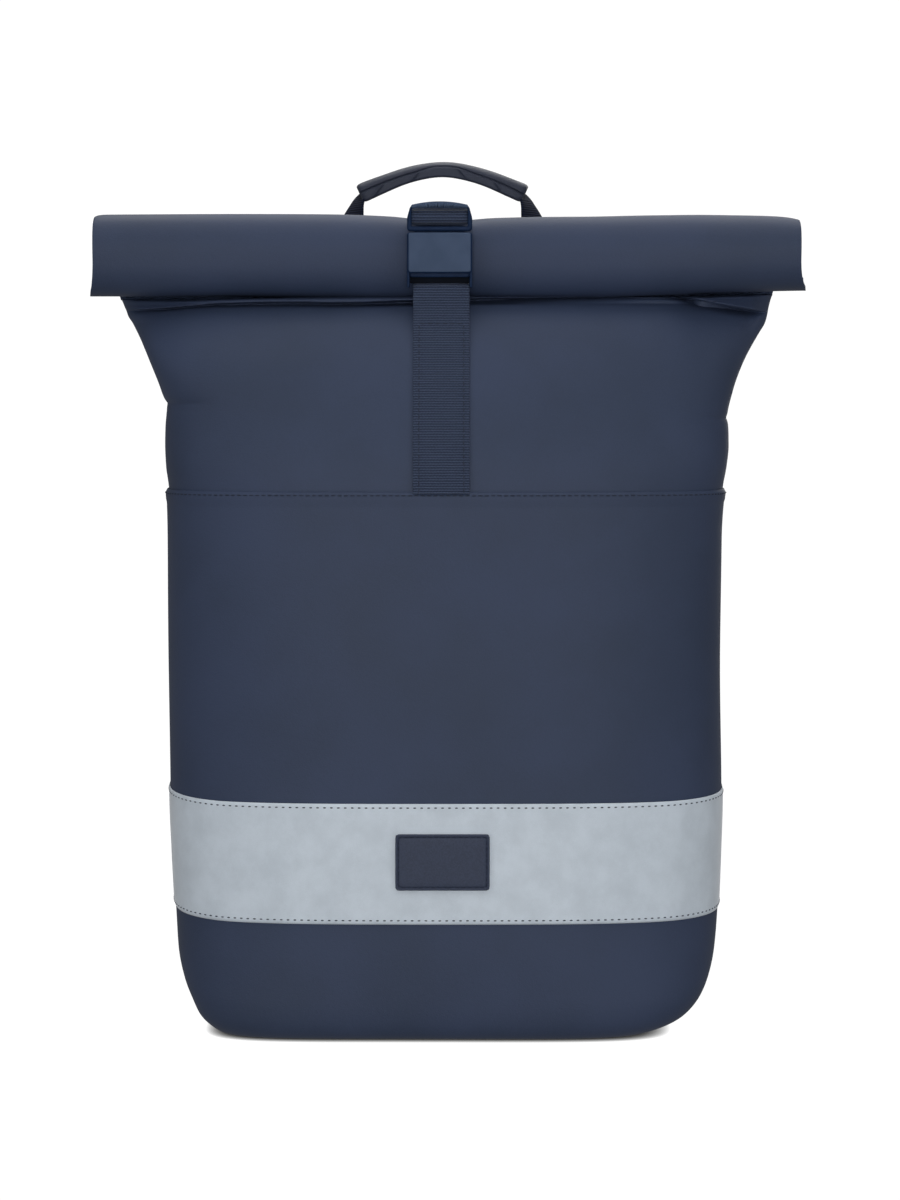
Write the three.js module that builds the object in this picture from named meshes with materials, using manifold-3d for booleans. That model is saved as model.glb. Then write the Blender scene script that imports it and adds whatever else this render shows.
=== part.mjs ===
// Roll-top backpack, standing on its base with its mouth rolled down and buckled.
// Millimetres, +Z up. The front faces -Y and the origin is the middle of the flat base.
import * as THREE from "three";
import { mergeVertices } from "three/addons/utils/BufferGeometryUtils.js";
import Module from "manifold-3d";

// Driving dimensions
const COLUMNS = 40;
const WALL = 2;
const FLOOR = 2.2;
const GAP = 0.3;
const PANEL_THICK = 1.2;
const BAND_THICK = 0.9;
const PANEL_BOTTOM = 5;
const PANEL_TOP = 287;
const BAND_BOTTOM = 63;
const BAND_TOP = 127;
const PAD_THICK = 5.5;
const PAD_BOTTOM = 28;
const PAD_TOP = 329;
const MOUTH_TOP = 424;
const WEB_WIDTH = 29.4;
const WEB_THICK = 1.6;
const WEB_MIDDLE = -2.6;
const LABEL = { width: 49, height: 29.4, thick: 1.6, corner: 1.4, x: -2, z: 95.9 };
const STRAP_LIFT = 0.5;
const SEWN_TOP = 376;
const BUCKLE = { middle: -3.5, front: -46.5 };
const CATCH = { width: 34, rail: 1.3, railBottom: 393.6, railTop: 421.9, back: -37, inset: 0.8 };
const COVER = { bottom: 401.4, top: 422.7, thick: 4, corner: 1.6 };
const HOOK = { half: 17, bottom: 423.3, shoulder: 434, top: 436.4, crown: 440.6, round: 2.4, thick: 4.6 };
const WINDOW = { half: 14.7, bottom: 425.6, top: 435.2 };
const BAR = { half: 15.8, bottom: 429.9, top: 431.5, front: 4.7, back: 5.9 };
const TONGUE = { half: 13, bottom: 408.6, top: 424.2, front: 4.3, back: 6.3 };
const HANDLE_MIDDLE = -2.3;
const HANDLE_DEPTH = 62;
const STRAP_WEB = 25;
const ADJUSTER = { width: 33, height: 20, thick: 3.4, corner: 3, x: 88.4, y: 95.5, z: 153.6, slope: 0.2 };
const ADJUSTER_SLOT = { width: 27, height: 5, corner: 1, shift: 4.6 };
const TAB = { bottomHalf: 17, topHalf: 13, height: 24, thick: 2.2, x: 104, y: 65.4, z: 38 };

// Sections of the bag from the base to the mouth. left and right are reaches from the middle plane;
// front, ridge and back are places along Y, ridge being where the two side lines run.
// frontSquare and backSquare are superellipse powers, and fold pushes the front out beside the strap.
const SECTIONS = [
  { z: 0, left: 108, right: 99.4, front: -53, ridge: 0, back: 47, frontSquare: 3.2, backSquare: 3.4, fold: 0 },
  { z: 1.5, left: 120.2, right: 111.8, front: -58.5, ridge: 0, back: 52, frontSquare: 3.4, backSquare: 3.6, fold: 0 },
  { z: 5, left: 128, right: 122.3, front: -62.5, ridge: 0, back: 55.5, frontSquare: 3.6, backSquare: 3.9, fold: 0 },
  { z: 10, left: 132.2, right: 128.4, front: -64.4, ridge: 0, back: 57.5, frontSquare: 3.8, backSquare: 4.1, fold: 0 },
  { z: 18, left: 136.8, right: 136, front: -65.6, ridge: 0, back: 59, frontSquare: 4, backSquare: 4.3, fold: 0 },
  { z: 28, left: 139.5, right: 139.4, front: -66.2, ridge: 0, back: 60, frontSquare: 4.1, backSquare: 4.5, fold: 0 },
  { z: 42, left: 142.1, right: 142.1, front: -66.7, ridge: 0, back: 60.5, frontSquare: 4.2, backSquare: 4.6, fold: 0 },
  { z: 63, left: 143.5, right: 143.8, front: -67, ridge: 0, back: 60.5, frontSquare: 4.3, backSquare: 4.6, fold: 0 },
  { z: 95, left: 145.2, right: 144.9, front: -67.4, ridge: 0, back: 60.5, frontSquare: 4.3, backSquare: 4.6, fold: 0 },
  { z: 127, left: 146.3, right: 145.5, front: -67.6, ridge: 0, back: 60.5, frontSquare: 4.3, backSquare: 4.6, fold: 0 },
  { z: 200, left: 146.6, right: 144.7, front: -68, ridge: 0, back: 60.5, frontSquare: 4.3, backSquare: 4.6, fold: 0 },
  { z: 260, left: 146.6, right: 144.9, front: -67.6, ridge: 0, back: 60.5, frontSquare: 4.2, backSquare: 4.6, fold: 0 },
  { z: 287, left: 147.2, right: 146.7, front: -66.8, ridge: 0, back: 60.5, frontSquare: 4.1, backSquare: 4.5, fold: 0 },
  { z: 300, left: 148.6, right: 149, front: -65.6, ridge: 0, back: 60.5, frontSquare: 4, backSquare: 4.5, fold: 0 },
  { z: 311, left: 148.7, right: 150.4, front: -63.6, ridge: 0, back: 60.5, frontSquare: 3.8, backSquare: 4.3, fold: 0 },
  { z: 321, left: 148.5, right: 150.6, front: -61.2, ridge: 0, back: 60.5, frontSquare: 3.5, backSquare: 4, fold: 0 },
  { z: 329, left: 148.2, right: 150.4, front: -59, ridge: 1, back: 60.5, frontSquare: 3.2, backSquare: 3.7, fold: 0 },
  { z: 341, left: 151.6, right: 153.4, front: -55.4, ridge: 2, back: 60.5, frontSquare: 2.9, backSquare: 3.3, fold: 0 },
  { z: 356, left: 158.2, right: 159.5, front: -50.4, ridge: 4, back: 60, frontSquare: 2.6, backSquare: 2.9, fold: 0 },
  { z: 371, left: 165.7, right: 168, front: -45, ridge: 5, back: 58, frontSquare: 2.4, backSquare: 2.6, fold: 0 },
  { z: 376, left: 168.4, right: 171, front: -42.6, ridge: 6, back: 56.5, frontSquare: 2.4, backSquare: 2.5, fold: -0.5 },
  { z: 380, left: 171, right: 172.9, front: -41, ridge: 6, back: 54.5, frontSquare: 2.4, backSquare: 2.5, fold: -1.5 },
  { z: 383, left: 172.1, right: 172.6, front: -39.3, ridge: 6, back: 51.3, frontSquare: 2.4, backSquare: 2.5, fold: -2.5 },
  { z: 384.6, left: 172.9, right: 172.9, front: -37.8, ridge: 6, back: 48.4, frontSquare: 2.4, backSquare: 2.5, fold: 2.5 },
  { z: 386, left: 173.9, right: 173.6, front: -34, ridge: 6, back: 43, frontSquare: 2.5, backSquare: 2.6, fold: 2 },
  { z: 387.2, left: 174.4, right: 174, front: -19, ridge: 6, back: 29, frontSquare: 3, backSquare: 3, fold: 0 },
  { z: 388.4, left: 175, right: 174.5, front: 1, ridge: 6, back: 11, frontSquare: 8, backSquare: 8, fold: 0 },
  { z: 404, left: 179, right: 179, front: 1, ridge: 6, back: 11, frontSquare: 8, backSquare: 8, fold: 0 },
  { z: 424, left: 183.8, right: 183.8, front: 1, ridge: 6, back: 11, frontSquare: 8, backSquare: 8, fold: 0 },
];

// The rolled top, wound forward from the mouth. turns counts from the back, going over the top;
// depth and height are the reaches of the outer face, wallDepth and wallHeight the cloth taken off them.
// The strap squeezes it once it has left the mouth by freeTurns. Its section turns from an ellipse into
// a superellipse, and its right end tapers above and below its middle.
const ROLL = { y: -15.5, z: 411, reach: 185.4, flare: 2.4, squeeze: 0.055, squeezeWidth: 34, freeTurns: 0.15 };
const ROLL_SQUARE = { power: 2.6, fromTurns: 0.25, fullTurns: 0.42 };
const ROLL_TAPER = { fromStation: 0.35, above: 0.07, below: 0.14 };
const ROLL_TURNS = [
  { turns: 0.105, depth: 33.6, height: 21.66, wallDepth: 12.7, wallHeight: 0 },
  { turns: 0.18, depth: 31, height: 21.7, wallDepth: 8, wallHeight: 2.4 },
  { turns: 0.25, depth: 27, height: 21.7, wallDepth: 3.2, wallHeight: 3.2 },
  { turns: 0.5, depth: 22, height: 21.7, wallDepth: 3.2, wallHeight: 3.2 },
  { turns: 0.75, depth: 19, height: 21.7, wallDepth: 3.2, wallHeight: 3.2 },
  { turns: 1, depth: 15.2, height: 19, wallDepth: 3.2, wallHeight: 3.2 },
  { turns: 1.25, depth: 15.5, height: 16.4, wallDepth: 3.2, wallHeight: 3.2 },
  { turns: 1.5, depth: 17, height: 16.2, wallDepth: 3.2, wallHeight: 3.2 },
  { turns: 1.75, depth: 14, height: 16.4, wallDepth: 3.2, wallHeight: 3.2 },
  { turns: 2, depth: 10, height: 14, wallDepth: 3.2, wallHeight: 3.2 },
  { turns: 2.25, depth: 10.5, height: 11, wallDepth: 3.2, wallHeight: 3.2 },
  { turns: 2.5, depth: 12, height: 10.8, wallDepth: 3.2, wallHeight: 3.2 },
];
const ROLL_STATIONS = [-1, -0.8, -0.5, -0.26, -0.13, 0, 0.13, 0.26, 0.5, 0.65, 0.8, 0.9, 1];

// Middle lines of the straps, seen from the side
const LOWER_STRAP_END = [
  { y: -42.9, z: 384 },
  { y: -41.4, z: 392 },
  { y: -40.6, z: 404 },
];
const UPPER_STRAP = [
  { y: -40.2, z: 427.4 },
  { y: -43, z: 428.4 },
  { y: -44, z: 430.7 },
  { y: -43, z: 433 },
  { y: -40.2, z: 434.5 },
  { y: -30, z: 435 },
  { y: -15.5, z: 434.4 },
  { y: -4, z: 433.2 },
  { y: 6, z: 430.4 },
  { y: 11.6, z: 426 },
  { y: 12.6, z: 418 },
  { y: 13.2, z: 400 },
  { y: 16.4, z: 390.6 },
  { y: 28, z: 388.5 },
  { y: 40, z: 387.4 },
  { y: 46, z: 386.5 },
];
const SHOULDER_STRAP = [
  { x: 56, y: 63.4, z: 338, width: 56, thick: 5 },
  { x: 56.5, y: 65, z: 350, width: 57, thick: 7.4 },
  { x: 57, y: 70.4, z: 359, width: 58, thick: 8.4 },
  { x: 58, y: 79, z: 362, width: 58, thick: 8.4 },
  { x: 59, y: 88, z: 357, width: 58, thick: 8.4 },
  { x: 60, y: 94, z: 345, width: 58, thick: 8.4 },
  { x: 62, y: 99.6, z: 320, width: 58, thick: 8.4 },
  { x: 66, y: 103.4, z: 280, width: 57, thick: 8.4 },
  { x: 72, y: 104.2, z: 240, width: 55, thick: 8.4 },
  { x: 79, y: 101.6, z: 202, width: 52, thick: 8 },
  { x: 84, y: 97.8, z: 178, width: 48, thick: 7.4 },
  { x: 86.6, y: 95.4, z: 165, width: 43, thick: 4 },
  { x: 88, y: 93.2, z: 154, width: 38, thick: 4 },
];
const LOWER_WEBBING = [
  { x: 88.4, y: 94.1, z: 152.5 },
  { x: 90.4, y: 91.6, z: 140 },
  { x: 93, y: 88.6, z: 126 },
  { x: 98, y: 81.2, z: 100 },
  { x: 103, y: 73.4, z: 74 },
  { x: 105.4, y: 69.8, z: 58 },
  { x: 106.4, y: 68.8, z: 44 },
];
const HANDLE_WEB = [
  { x: 57, y: 59.9, z: 364, turn: 0 },
  { x: 56.4, y: 57.6, z: 376, turn: 2 },
  { x: 55.4, y: 57.6, z: 388, turn: 11 },
  { x: 53.6, y: 60, z: 404, turn: 27 },
  { x: 51, y: 61.4, z: 422, turn: 45 },
  { x: 48.2, y: 62, z: 437.5, turn: 62 },
  { x: 47.3, y: 62, z: 446.2, turn: 86 },
];
const HANDLE_GRIP = { half: 45.8, apex: 462, rise: 16.9, spread: 30.7, depth: 26, thin: 8.2, thick: 10.6 };

const COLOURS = {
  cloth: 0x373f50,
  band: 0xadb5be,
  label: 0x323a4e,
  webbing: 0x2f384a,
  plastic: 0x2b3a55,
  padding: 0x2c3343,
};

// Geometry helpers
const wasm = await Module();
wasm.setup();

function signedPower(value, power) {
  return Math.sign(value) * Math.abs(value) ** power;
}

function mix(a, b, share) {
  return a + (b - a) * share;
}

// Closed geometry from a list of triangles, turned outside out when its volume is negative
function closed(triangles) {
  let volume = 0;
  for (const [a, b, c] of triangles) {
    volume += a.dot(new THREE.Vector3().crossVectors(b, c));
  }
  const positions = [];
  for (const [a, b, c] of triangles) {
    const corners = volume < 0 ? [a, c, b] : [a, b, c];
    corners.forEach((corner) => positions.push(corner.x, corner.y, corner.z));
  }
  const geometry = new THREE.BufferGeometry();
  geometry.setAttribute("position", new THREE.Float32BufferAttribute(positions, 3));
  geometry.computeVertexNormals();
  return geometry;
}

// Triangles between two rows of points that run side by side
function band(first, second, wrap) {
  const triangles = [];
  const count = wrap ? first.length : first.length - 1;
  for (let i = 0; i < count; i += 1) {
    const j = (i + 1) % first.length;
    triangles.push([first[i], first[j], second[j]], [first[i], second[j], second[i]]);
  }
  return triangles;
}

function skin(grid, wrap) {
  return grid.slice(1).flatMap((row, i) => band(grid[i], row, wrap));
}

function fan(row) {
  const middle = new THREE.Vector3();
  row.forEach((point) => middle.add(point));
  middle.divideScalar(row.length);
  return row.map((point, i) => [middle, point, row[(i + 1) % row.length]]);
}

function reversed(triangles) {
  return triangles.map(([a, b, c]) => [a, c, b]);
}

// Solid between two open grids of points
function slab(outer, inner) {
  const column = (grid, i) => grid.map((row) => row[i]);
  const last = outer[0].length - 1;
  return closed([
    ...skin(outer, false),
    ...reversed(skin(inner, false)),
    ...band(outer.at(-1), inner.at(-1), false),
    ...reversed(band(outer[0], inner[0], false)),
    ...band(column(outer, 0), column(inner, 0), false),
    ...reversed(band(column(outer, last), column(inner, last), false)),
  ]);
}

// Surface directions of a grid that closes round, pointing out of the bag
function normals(grid) {
  return grid.map((row, r) => {
    const below = grid[Math.max(r - 1, 0)];
    const above = grid[Math.min(r + 1, grid.length - 1)];
    return row.map((point, c) => {
      const round = row[(c + 1) % row.length].clone().sub(row[(c + row.length - 1) % row.length]);
      return round.cross(above[c].clone().sub(below[c])).normalize();
    });
  });
}

function bagPoint(section, angle) {
  const c = Math.cos(angle);
  const s = Math.sin(angle);
  const square = s < 0 ? section.frontSquare : section.backSquare;
  const depth = s < 0 ? section.ridge - section.front : section.back - section.ridge;
  const across = signedPower(c, 2 / square);
  const push = s < 0 ? section.fold * 4 * Math.abs(across) * (1 - Math.abs(across)) : 0;
  const reach = c < 0 ? section.left : section.right;
  return new THREE.Vector3(reach * across, section.ridge + depth * signedPower(s, 2 / square) - push, section.z);
}

const BAG = SECTIONS.map((section) =>
  Array.from({ length: COLUMNS }, (_, i) => bagPoint(section, (i / COLUMNS) * 2 * Math.PI)),
);
const BAG_NORMALS = normals(BAG);

function raised(lift) {
  return BAG.map((row, r) => row.map((point, c) => point.clone().addScaledVector(BAG_NORMALS[r][c], lift)));
}

// Part of a raised bag surface, from one height to another and round a run of columns
function patch(lift, bottom, top, firstColumn, lastColumn) {
  const rows = raised(lift).filter((row, r) => SECTIONS[r].z >= bottom && SECTIONS[r].z <= top);
  const count = lastColumn - firstColumn + 1;
  return rows.map((row) => Array.from({ length: count }, (_, i) => row[(firstColumn + i) % COLUMNS]));
}

function layer(low, high, bottom, top, firstColumn, lastColumn) {
  return slab(patch(high, bottom, top, firstColumn, lastColumn), patch(low, bottom, top, firstColumn, lastColumn));
}

function frontAt(z) {
  const upper = SECTIONS.findIndex((section) => section.z >= z);
  const above = SECTIONS[upper];
  const below = SECTIONS[Math.max(upper - 1, 0)];
  const share = above.z === below.z ? 0 : (z - below.z) / (above.z - below.z);
  return mix(below.front, above.front, share);
}

// Strap of even thickness along a middle line of { x, y, z } points, its width lying along X
function strap(path, width, thick) {
  const grid = (side) =>
    path.map((point, i) => {
      const before = path[Math.max(i - 1, 0)];
      const after = path[Math.min(i + 1, path.length - 1)];
      const along = new THREE.Vector2(after.y - before.y, after.z - before.z).normalize();
      const shift = (side * thick) / 2;
      return [-1, 1].map(
        (edge) =>
          new THREE.Vector3(point.x + (edge * width) / 2, point.y - along.y * shift, point.z + along.x * shift),
      );
    });
  return slab(grid(1), grid(-1));
}

function roundedRectangle(width, height, corner) {
  const shape = new THREE.Shape();
  const w = width / 2;
  const h = height / 2;
  shape.moveTo(-w + corner, -h);
  shape.lineTo(w - corner, -h);
  shape.quadraticCurveTo(w, -h, w, -h + corner);
  shape.lineTo(w, h - corner);
  shape.quadraticCurveTo(w, h, w - corner, h);
  shape.lineTo(-w + corner, h);
  shape.quadraticCurveTo(-w, h, -w, h - corner);
  shape.lineTo(-w, -h + corner);
  shape.quadraticCurveTo(-w, -h, -w + corner, -h);
  return shape;
}

// Plate cut from an upright outline, its back at y and its thickness towards the front
function plate(shape, thick, x, y, z) {
  const geometry = new THREE.ExtrudeGeometry(shape, { depth: thick, bevelEnabled: false, curveSegments: 4 });
  geometry.rotateX(Math.PI / 2);
  geometry.translate(x, y, z);
  return geometry;
}

function block(x0, x1, y0, y1, z0, z1) {
  const geometry = new THREE.BoxGeometry(x1 - x0, y1 - y0, z1 - z0);
  geometry.translate((x0 + x1) / 2, (y0 + y1) / 2, (z0 + z1) / 2);
  return geometry;
}

function solid(geometry) {
  const bare = geometry.clone();
  bare.deleteAttribute("normal");
  bare.deleteAttribute("uv");
  const merged = mergeVertices(bare);
  const vertProperties = Float32Array.from(merged.getAttribute("position").array);
  const triVerts = Uint32Array.from(merged.getIndex().array);
  return new wasm.Manifold(new wasm.Mesh({ numProp: 3, vertProperties, triVerts }));
}

function joined(first, ...others) {
  const whole = others.reduce((sum, geometry) => sum.add(solid(geometry)), solid(first));
  const { vertProperties, triVerts } = whole.getMesh();
  const geometry = new THREE.BufferGeometry();
  geometry.setAttribute("position", new THREE.Float32BufferAttribute(vertProperties, 3));
  geometry.setIndex(Array.from(triVerts));
  geometry.computeVertexNormals();
  return geometry;
}

// Bag, panels and band
function bodyShell() {
  const inner = raised(-WALL);
  inner.forEach((row, r) =>
    row.forEach((point) => {
      point.z = SECTIONS[r].z < FLOOR * 2 ? Math.max(point.z, FLOOR) : point.z;
      point.z = r === SECTIONS.length - 1 ? MOUTH_TOP : point.z;
    }),
  );
  return closed([
    ...skin(BAG, true),
    ...reversed(skin(inner, true)),
    ...band(BAG.at(-1), inner.at(-1), true),
    ...reversed(fan(BAG[0])),
    ...fan(inner[0]),
  ]);
}

const PANEL_LOW = GAP;
const PANEL_HIGH = PANEL_LOW + PANEL_THICK;
const BAND_LOW = PANEL_HIGH + GAP;
const BAND_HIGH = BAND_LOW + BAND_THICK;

function labelPatch() {
  const shape = roundedRectangle(LABEL.width, LABEL.height, LABEL.corner);
  const back = frontAt(LABEL.z + LABEL.height / 2) - BAND_HIGH - GAP;
  return plate(shape, LABEL.thick, LABEL.x, back, LABEL.z);
}

// Rolled top
function rollGrid(inside) {
  const steps = 4;
  const turns = ROLL_TURNS.slice(1).flatMap((after, i) => {
    const before = ROLL_TURNS[i];
    const share = (k) => k / steps;
    return Array.from({ length: steps }, (_, k) =>
      Object.fromEntries(Object.keys(after).map((key) => [key, mix(before[key], after[key], share(k))])),
    );
  });
  turns.push(ROLL_TURNS.at(-1));
  return turns.map((turn) => {
    const angle = turn.turns * 2 * Math.PI;
    const depth = turn.depth - (inside ? turn.wallDepth : 0);
    const height = turn.height - (inside ? turn.wallHeight : 0);
    const started = Math.min(1, (turn.turns - ROLL_TURNS[0].turns) / ROLL.freeTurns);
    const { power, fromTurns, fullTurns } = ROLL_SQUARE;
    const square = mix(2, power, THREE.MathUtils.smoothstep(turn.turns, fromTurns, fullTurns));
    const c = Math.cos(angle);
    const s = Math.sin(angle);
    const bulge = (Math.abs(c) ** square + Math.abs(s) ** square) ** (-1 / square);
    return ROLL_STATIONS.map((station) => {
      const pinch = Math.exp(-(((station * ROLL.reach - WEB_MIDDLE) / ROLL.squeezeWidth) ** 2));
      const ending = THREE.MathUtils.smoothstep(station, ROLL_TAPER.fromStation, 1);
      const taper = ending * (s < 0 ? ROLL_TAPER.below : ROLL_TAPER.above);
      const size = bulge * (1 - ROLL.squeeze * pinch * started);
      const up = s * height * size * (1 - taper * started);
      const reach = ROLL.reach + (up < 0 ? ROLL.flare * (up / ROLL_TURNS[0].height) ** 2 : 0);
      return new THREE.Vector3(station * reach, ROLL.y + c * depth * size, ROLL.z + up);
    });
  });
}

// Closing strap and buckle
function lowerStrap() {
  const sewn = SECTIONS.filter((section) => section.z >= PANEL_TOP && section.z <= SEWN_TOP).map((section) => ({
    x: WEB_MIDDLE,
    y: section.front - STRAP_LIFT - WEB_THICK / 2,
    z: section.z === PANEL_TOP ? PANEL_TOP + GAP : section.z,
  }));
  const free = LOWER_STRAP_END.map((point) => ({ x: WEB_MIDDLE, ...point }));
  return strap([...sewn, ...free], WEB_WIDTH, WEB_THICK);
}

function upperStrap() {
  const path = UPPER_STRAP.map((point) => ({ x: BUCKLE.middle, ...point }));
  return strap(path, WEB_WIDTH - 1, WEB_THICK);
}

function buckleCatch() {
  const { middle, front } = BUCKLE;
  const outline = roundedRectangle(CATCH.width, COVER.top - COVER.bottom, COVER.corner);
  const cover = plate(outline, COVER.thick, middle, front + COVER.thick, (COVER.top + COVER.bottom) / 2);
  const rails = [-1, 1].map((side) => {
    const outer = middle + (side * CATCH.width) / 2;
    const inner = outer - side * CATCH.rail;
    const [low, high] = [Math.min(outer, inner), Math.max(outer, inner)];
    return block(low, high, front + CATCH.inset, CATCH.back, CATCH.railBottom, CATCH.railTop);
  });
  return joined(cover, ...rails);
}

function buckleHook() {
  const { middle, front } = BUCKLE;
  const { half, bottom, shoulder, top, crown, round, thick } = HOOK;
  const frame = new THREE.Shape();
  frame.moveTo(-half, bottom);
  frame.lineTo(half, bottom);
  frame.lineTo(half, shoulder);
  frame.quadraticCurveTo(half, top - 0.5, half - round, top);
  frame.quadraticCurveTo(0, crown, round - half, top);
  frame.quadraticCurveTo(-half, top - 0.5, -half, shoulder);
  frame.closePath();
  const window = new THREE.Path();
  window.moveTo(-WINDOW.half, WINDOW.bottom);
  window.lineTo(-WINDOW.half, WINDOW.top);
  window.lineTo(WINDOW.half, WINDOW.top);
  window.lineTo(WINDOW.half, WINDOW.bottom);
  window.closePath();
  frame.holes.push(window);
  const crossPieces = [BAR, TONGUE].map((piece) =>
    block(
      middle - piece.half,
      middle + piece.half,
      front + piece.front,
      front + piece.back,
      piece.bottom,
      piece.top,
    ),
  );
  return joined(plate(frame, thick, middle, front + thick + 0.4, 0), ...crossPieces);
}

// Handle
function gripPoint(share) {
  const { half, apex, rise, spread } = HANDLE_GRIP;
  const x = share * half;
  const slope = ((rise / spread ** 2) * x) / Math.sqrt(1 + (x / spread) ** 2);
  const up = new THREE.Vector2(slope, 1).normalize();
  return { x: HANDLE_MIDDLE + x, z: apex - rise * (Math.sqrt(1 + (x / spread) ** 2) - 1), up };
}

function handleGrip() {
  const { depth, thin, thick } = HANDLE_GRIP;
  const rows = 14;
  const corners = [
    { across: -0.5, out: -0.25 },
    { across: -0.38, out: -0.5 },
    { across: 0.38, out: -0.5 },
    { across: 0.5, out: -0.25 },
    { across: 0.5, out: 0.25 },
    { across: 0.36, out: 0.5 },
    { across: -0.36, out: 0.5 },
    { across: -0.5, out: 0.25 },
  ];
  const rings = Array.from({ length: rows + 1 }, (_, r) => {
    const share = (r / rows) * 2 - 1;
    const { x, z, up } = gripPoint(share);
    const wide = mix(thin, thick, share * share);
    return corners.map(
      ({ across, out }) =>
        new THREE.Vector3(x + up.x * out * wide, HANDLE_DEPTH + across * depth, z + up.y * out * wide),
    );
  });
  return closed([...skin(rings, true), ...fan(rings.at(-1)), ...reversed(fan(rings[0]))]);
}

function handleWeb(side) {
  const grid = (face) =>
    HANDLE_WEB.map((row) => {
      const turn = THREE.MathUtils.degToRad(row.turn) * side;
      const across = new THREE.Vector3(Math.cos(turn), Math.sin(turn), 0);
      const out = new THREE.Vector3(-Math.sin(turn), Math.cos(turn), 0);
      return [-0.5, 0, 0.5].map((edge) =>
        new THREE.Vector3(HANDLE_MIDDLE + side * row.x, row.y, row.z)
          .addScaledVector(across, edge * STRAP_WEB)
          .addScaledVector(out, (face * WEB_THICK) / 2),
      );
    });
  return slab(grid(1), grid(-1));
}

// Back of the bag
function shoulderStrap(side) {
  const edges = [
    { share: -1, crown: 0.45 },
    { share: -0.82, crown: 0.9 },
    { share: 0, crown: 1 },
    { share: 0.82, crown: 0.9 },
    { share: 1, crown: 0.45 },
  ];
  const grid = (face) =>
    SHOULDER_STRAP.map((row, i) => {
      const before = SHOULDER_STRAP[Math.max(i - 1, 0)];
      const after = SHOULDER_STRAP[Math.min(i + 1, SHOULDER_STRAP.length - 1)];
      const along = new THREE.Vector2(after.y - before.y, after.z - before.z).normalize();
      return edges.map(({ share, crown }) => {
        const shift = (face * crown * row.thick) / 2;
        const x = side * (row.x + (share * row.width) / 2);
        return new THREE.Vector3(x, row.y - along.y * shift, row.z + along.x * shift);
      });
    });
  return slab(grid(1), grid(-1));
}

function lowerWebbing(side) {
  const path = LOWER_WEBBING.map((point) => ({ ...point, x: side * point.x }));
  return strap(path, STRAP_WEB, WEB_THICK);
}

function adjuster(side) {
  const frame = roundedRectangle(ADJUSTER.width, ADJUSTER.height, ADJUSTER.corner);
  const slot = roundedRectangle(ADJUSTER_SLOT.width, ADJUSTER_SLOT.height, ADJUSTER_SLOT.corner).getPoints(3);
  for (const shift of [-ADJUSTER_SLOT.shift, ADJUSTER_SLOT.shift]) {
    frame.holes.push(new THREE.Path(slot.map((point) => new THREE.Vector2(point.x, point.y + shift))));
  }
  const geometry = plate(frame, ADJUSTER.thick, 0, ADJUSTER.thick, 0);
  geometry.rotateX(-Math.atan(ADJUSTER.slope));
  geometry.translate(side * ADJUSTER.x, ADJUSTER.y, ADJUSTER.z);
  return geometry;
}

function strapTab(side) {
  const outline = new THREE.Shape();
  outline.moveTo(-TAB.bottomHalf, -TAB.height / 2);
  outline.lineTo(TAB.bottomHalf, -TAB.height / 2);
  outline.lineTo(TAB.topHalf, TAB.height / 2);
  outline.lineTo(-TAB.topHalf, TAB.height / 2);
  outline.closePath();
  return plate(outline, TAB.thick, side * TAB.x, TAB.y + TAB.thick, TAB.z);
}

// Assembly
const group = new THREE.Group();
group.name = "roll_top_backpack";

function add(name, geometry, color, roughness) {
  const mesh = new THREE.Mesh(geometry, new THREE.MeshStandardMaterial({ color, roughness, metalness: 0 }));
  mesh.name = name;
  group.add(mesh);
}

add("body_shell", bodyShell(), COLOURS.cloth, 0.75);
add("front_panel", layer(PANEL_LOW, PANEL_HIGH, PANEL_BOTTOM, PANEL_TOP, 17, 43), COLOURS.cloth, 0.75);
add("reflective_band", layer(BAND_LOW, BAND_HIGH, BAND_BOTTOM, BAND_TOP, 18, 42), COLOURS.band, 0.5);
add("label_patch", labelPatch(), COLOURS.label, 0.7);
add("roll_top", slab(rollGrid(false), rollGrid(true)), COLOURS.cloth, 0.75);
add("closing_strap_lower", lowerStrap(), COLOURS.webbing, 0.85);
add("closing_strap_upper", upperStrap(), COLOURS.webbing, 0.85);
add("buckle_catch", buckleCatch(), COLOURS.plastic, 0.45);
add("buckle_hook", buckleHook(), COLOURS.plastic, 0.45);
add("handle_grip", handleGrip(), COLOURS.cloth, 0.75);
add("back_pad", layer(GAP, GAP + PAD_THICK, PAD_BOTTOM, PAD_TOP, 6, 14), COLOURS.padding, 0.9);
for (const [name, side] of [["left", -1], ["right", 1]]) {
  add(`handle_web_${name}`, handleWeb(side), COLOURS.webbing, 0.85);
  add(`shoulder_strap_${name}`, shoulderStrap(side), COLOURS.padding, 0.9);
  add(`strap_adjuster_${name}`, adjuster(side), COLOURS.plastic, 0.45);
  add(`strap_webbing_${name}`, lowerWebbing(side), COLOURS.webbing, 0.85);
  add(`strap_tab_${name}`, strapTab(side), COLOURS.webbing, 0.85);
}

export default group;
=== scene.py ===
"""Roll-top backpack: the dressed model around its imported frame.

Shapes are worked out in millimetres, in the frame's own axes: +X to the right,
+Y away from the viewer, +Z up.
"""
import math
from types import SimpleNamespace as Form

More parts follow.
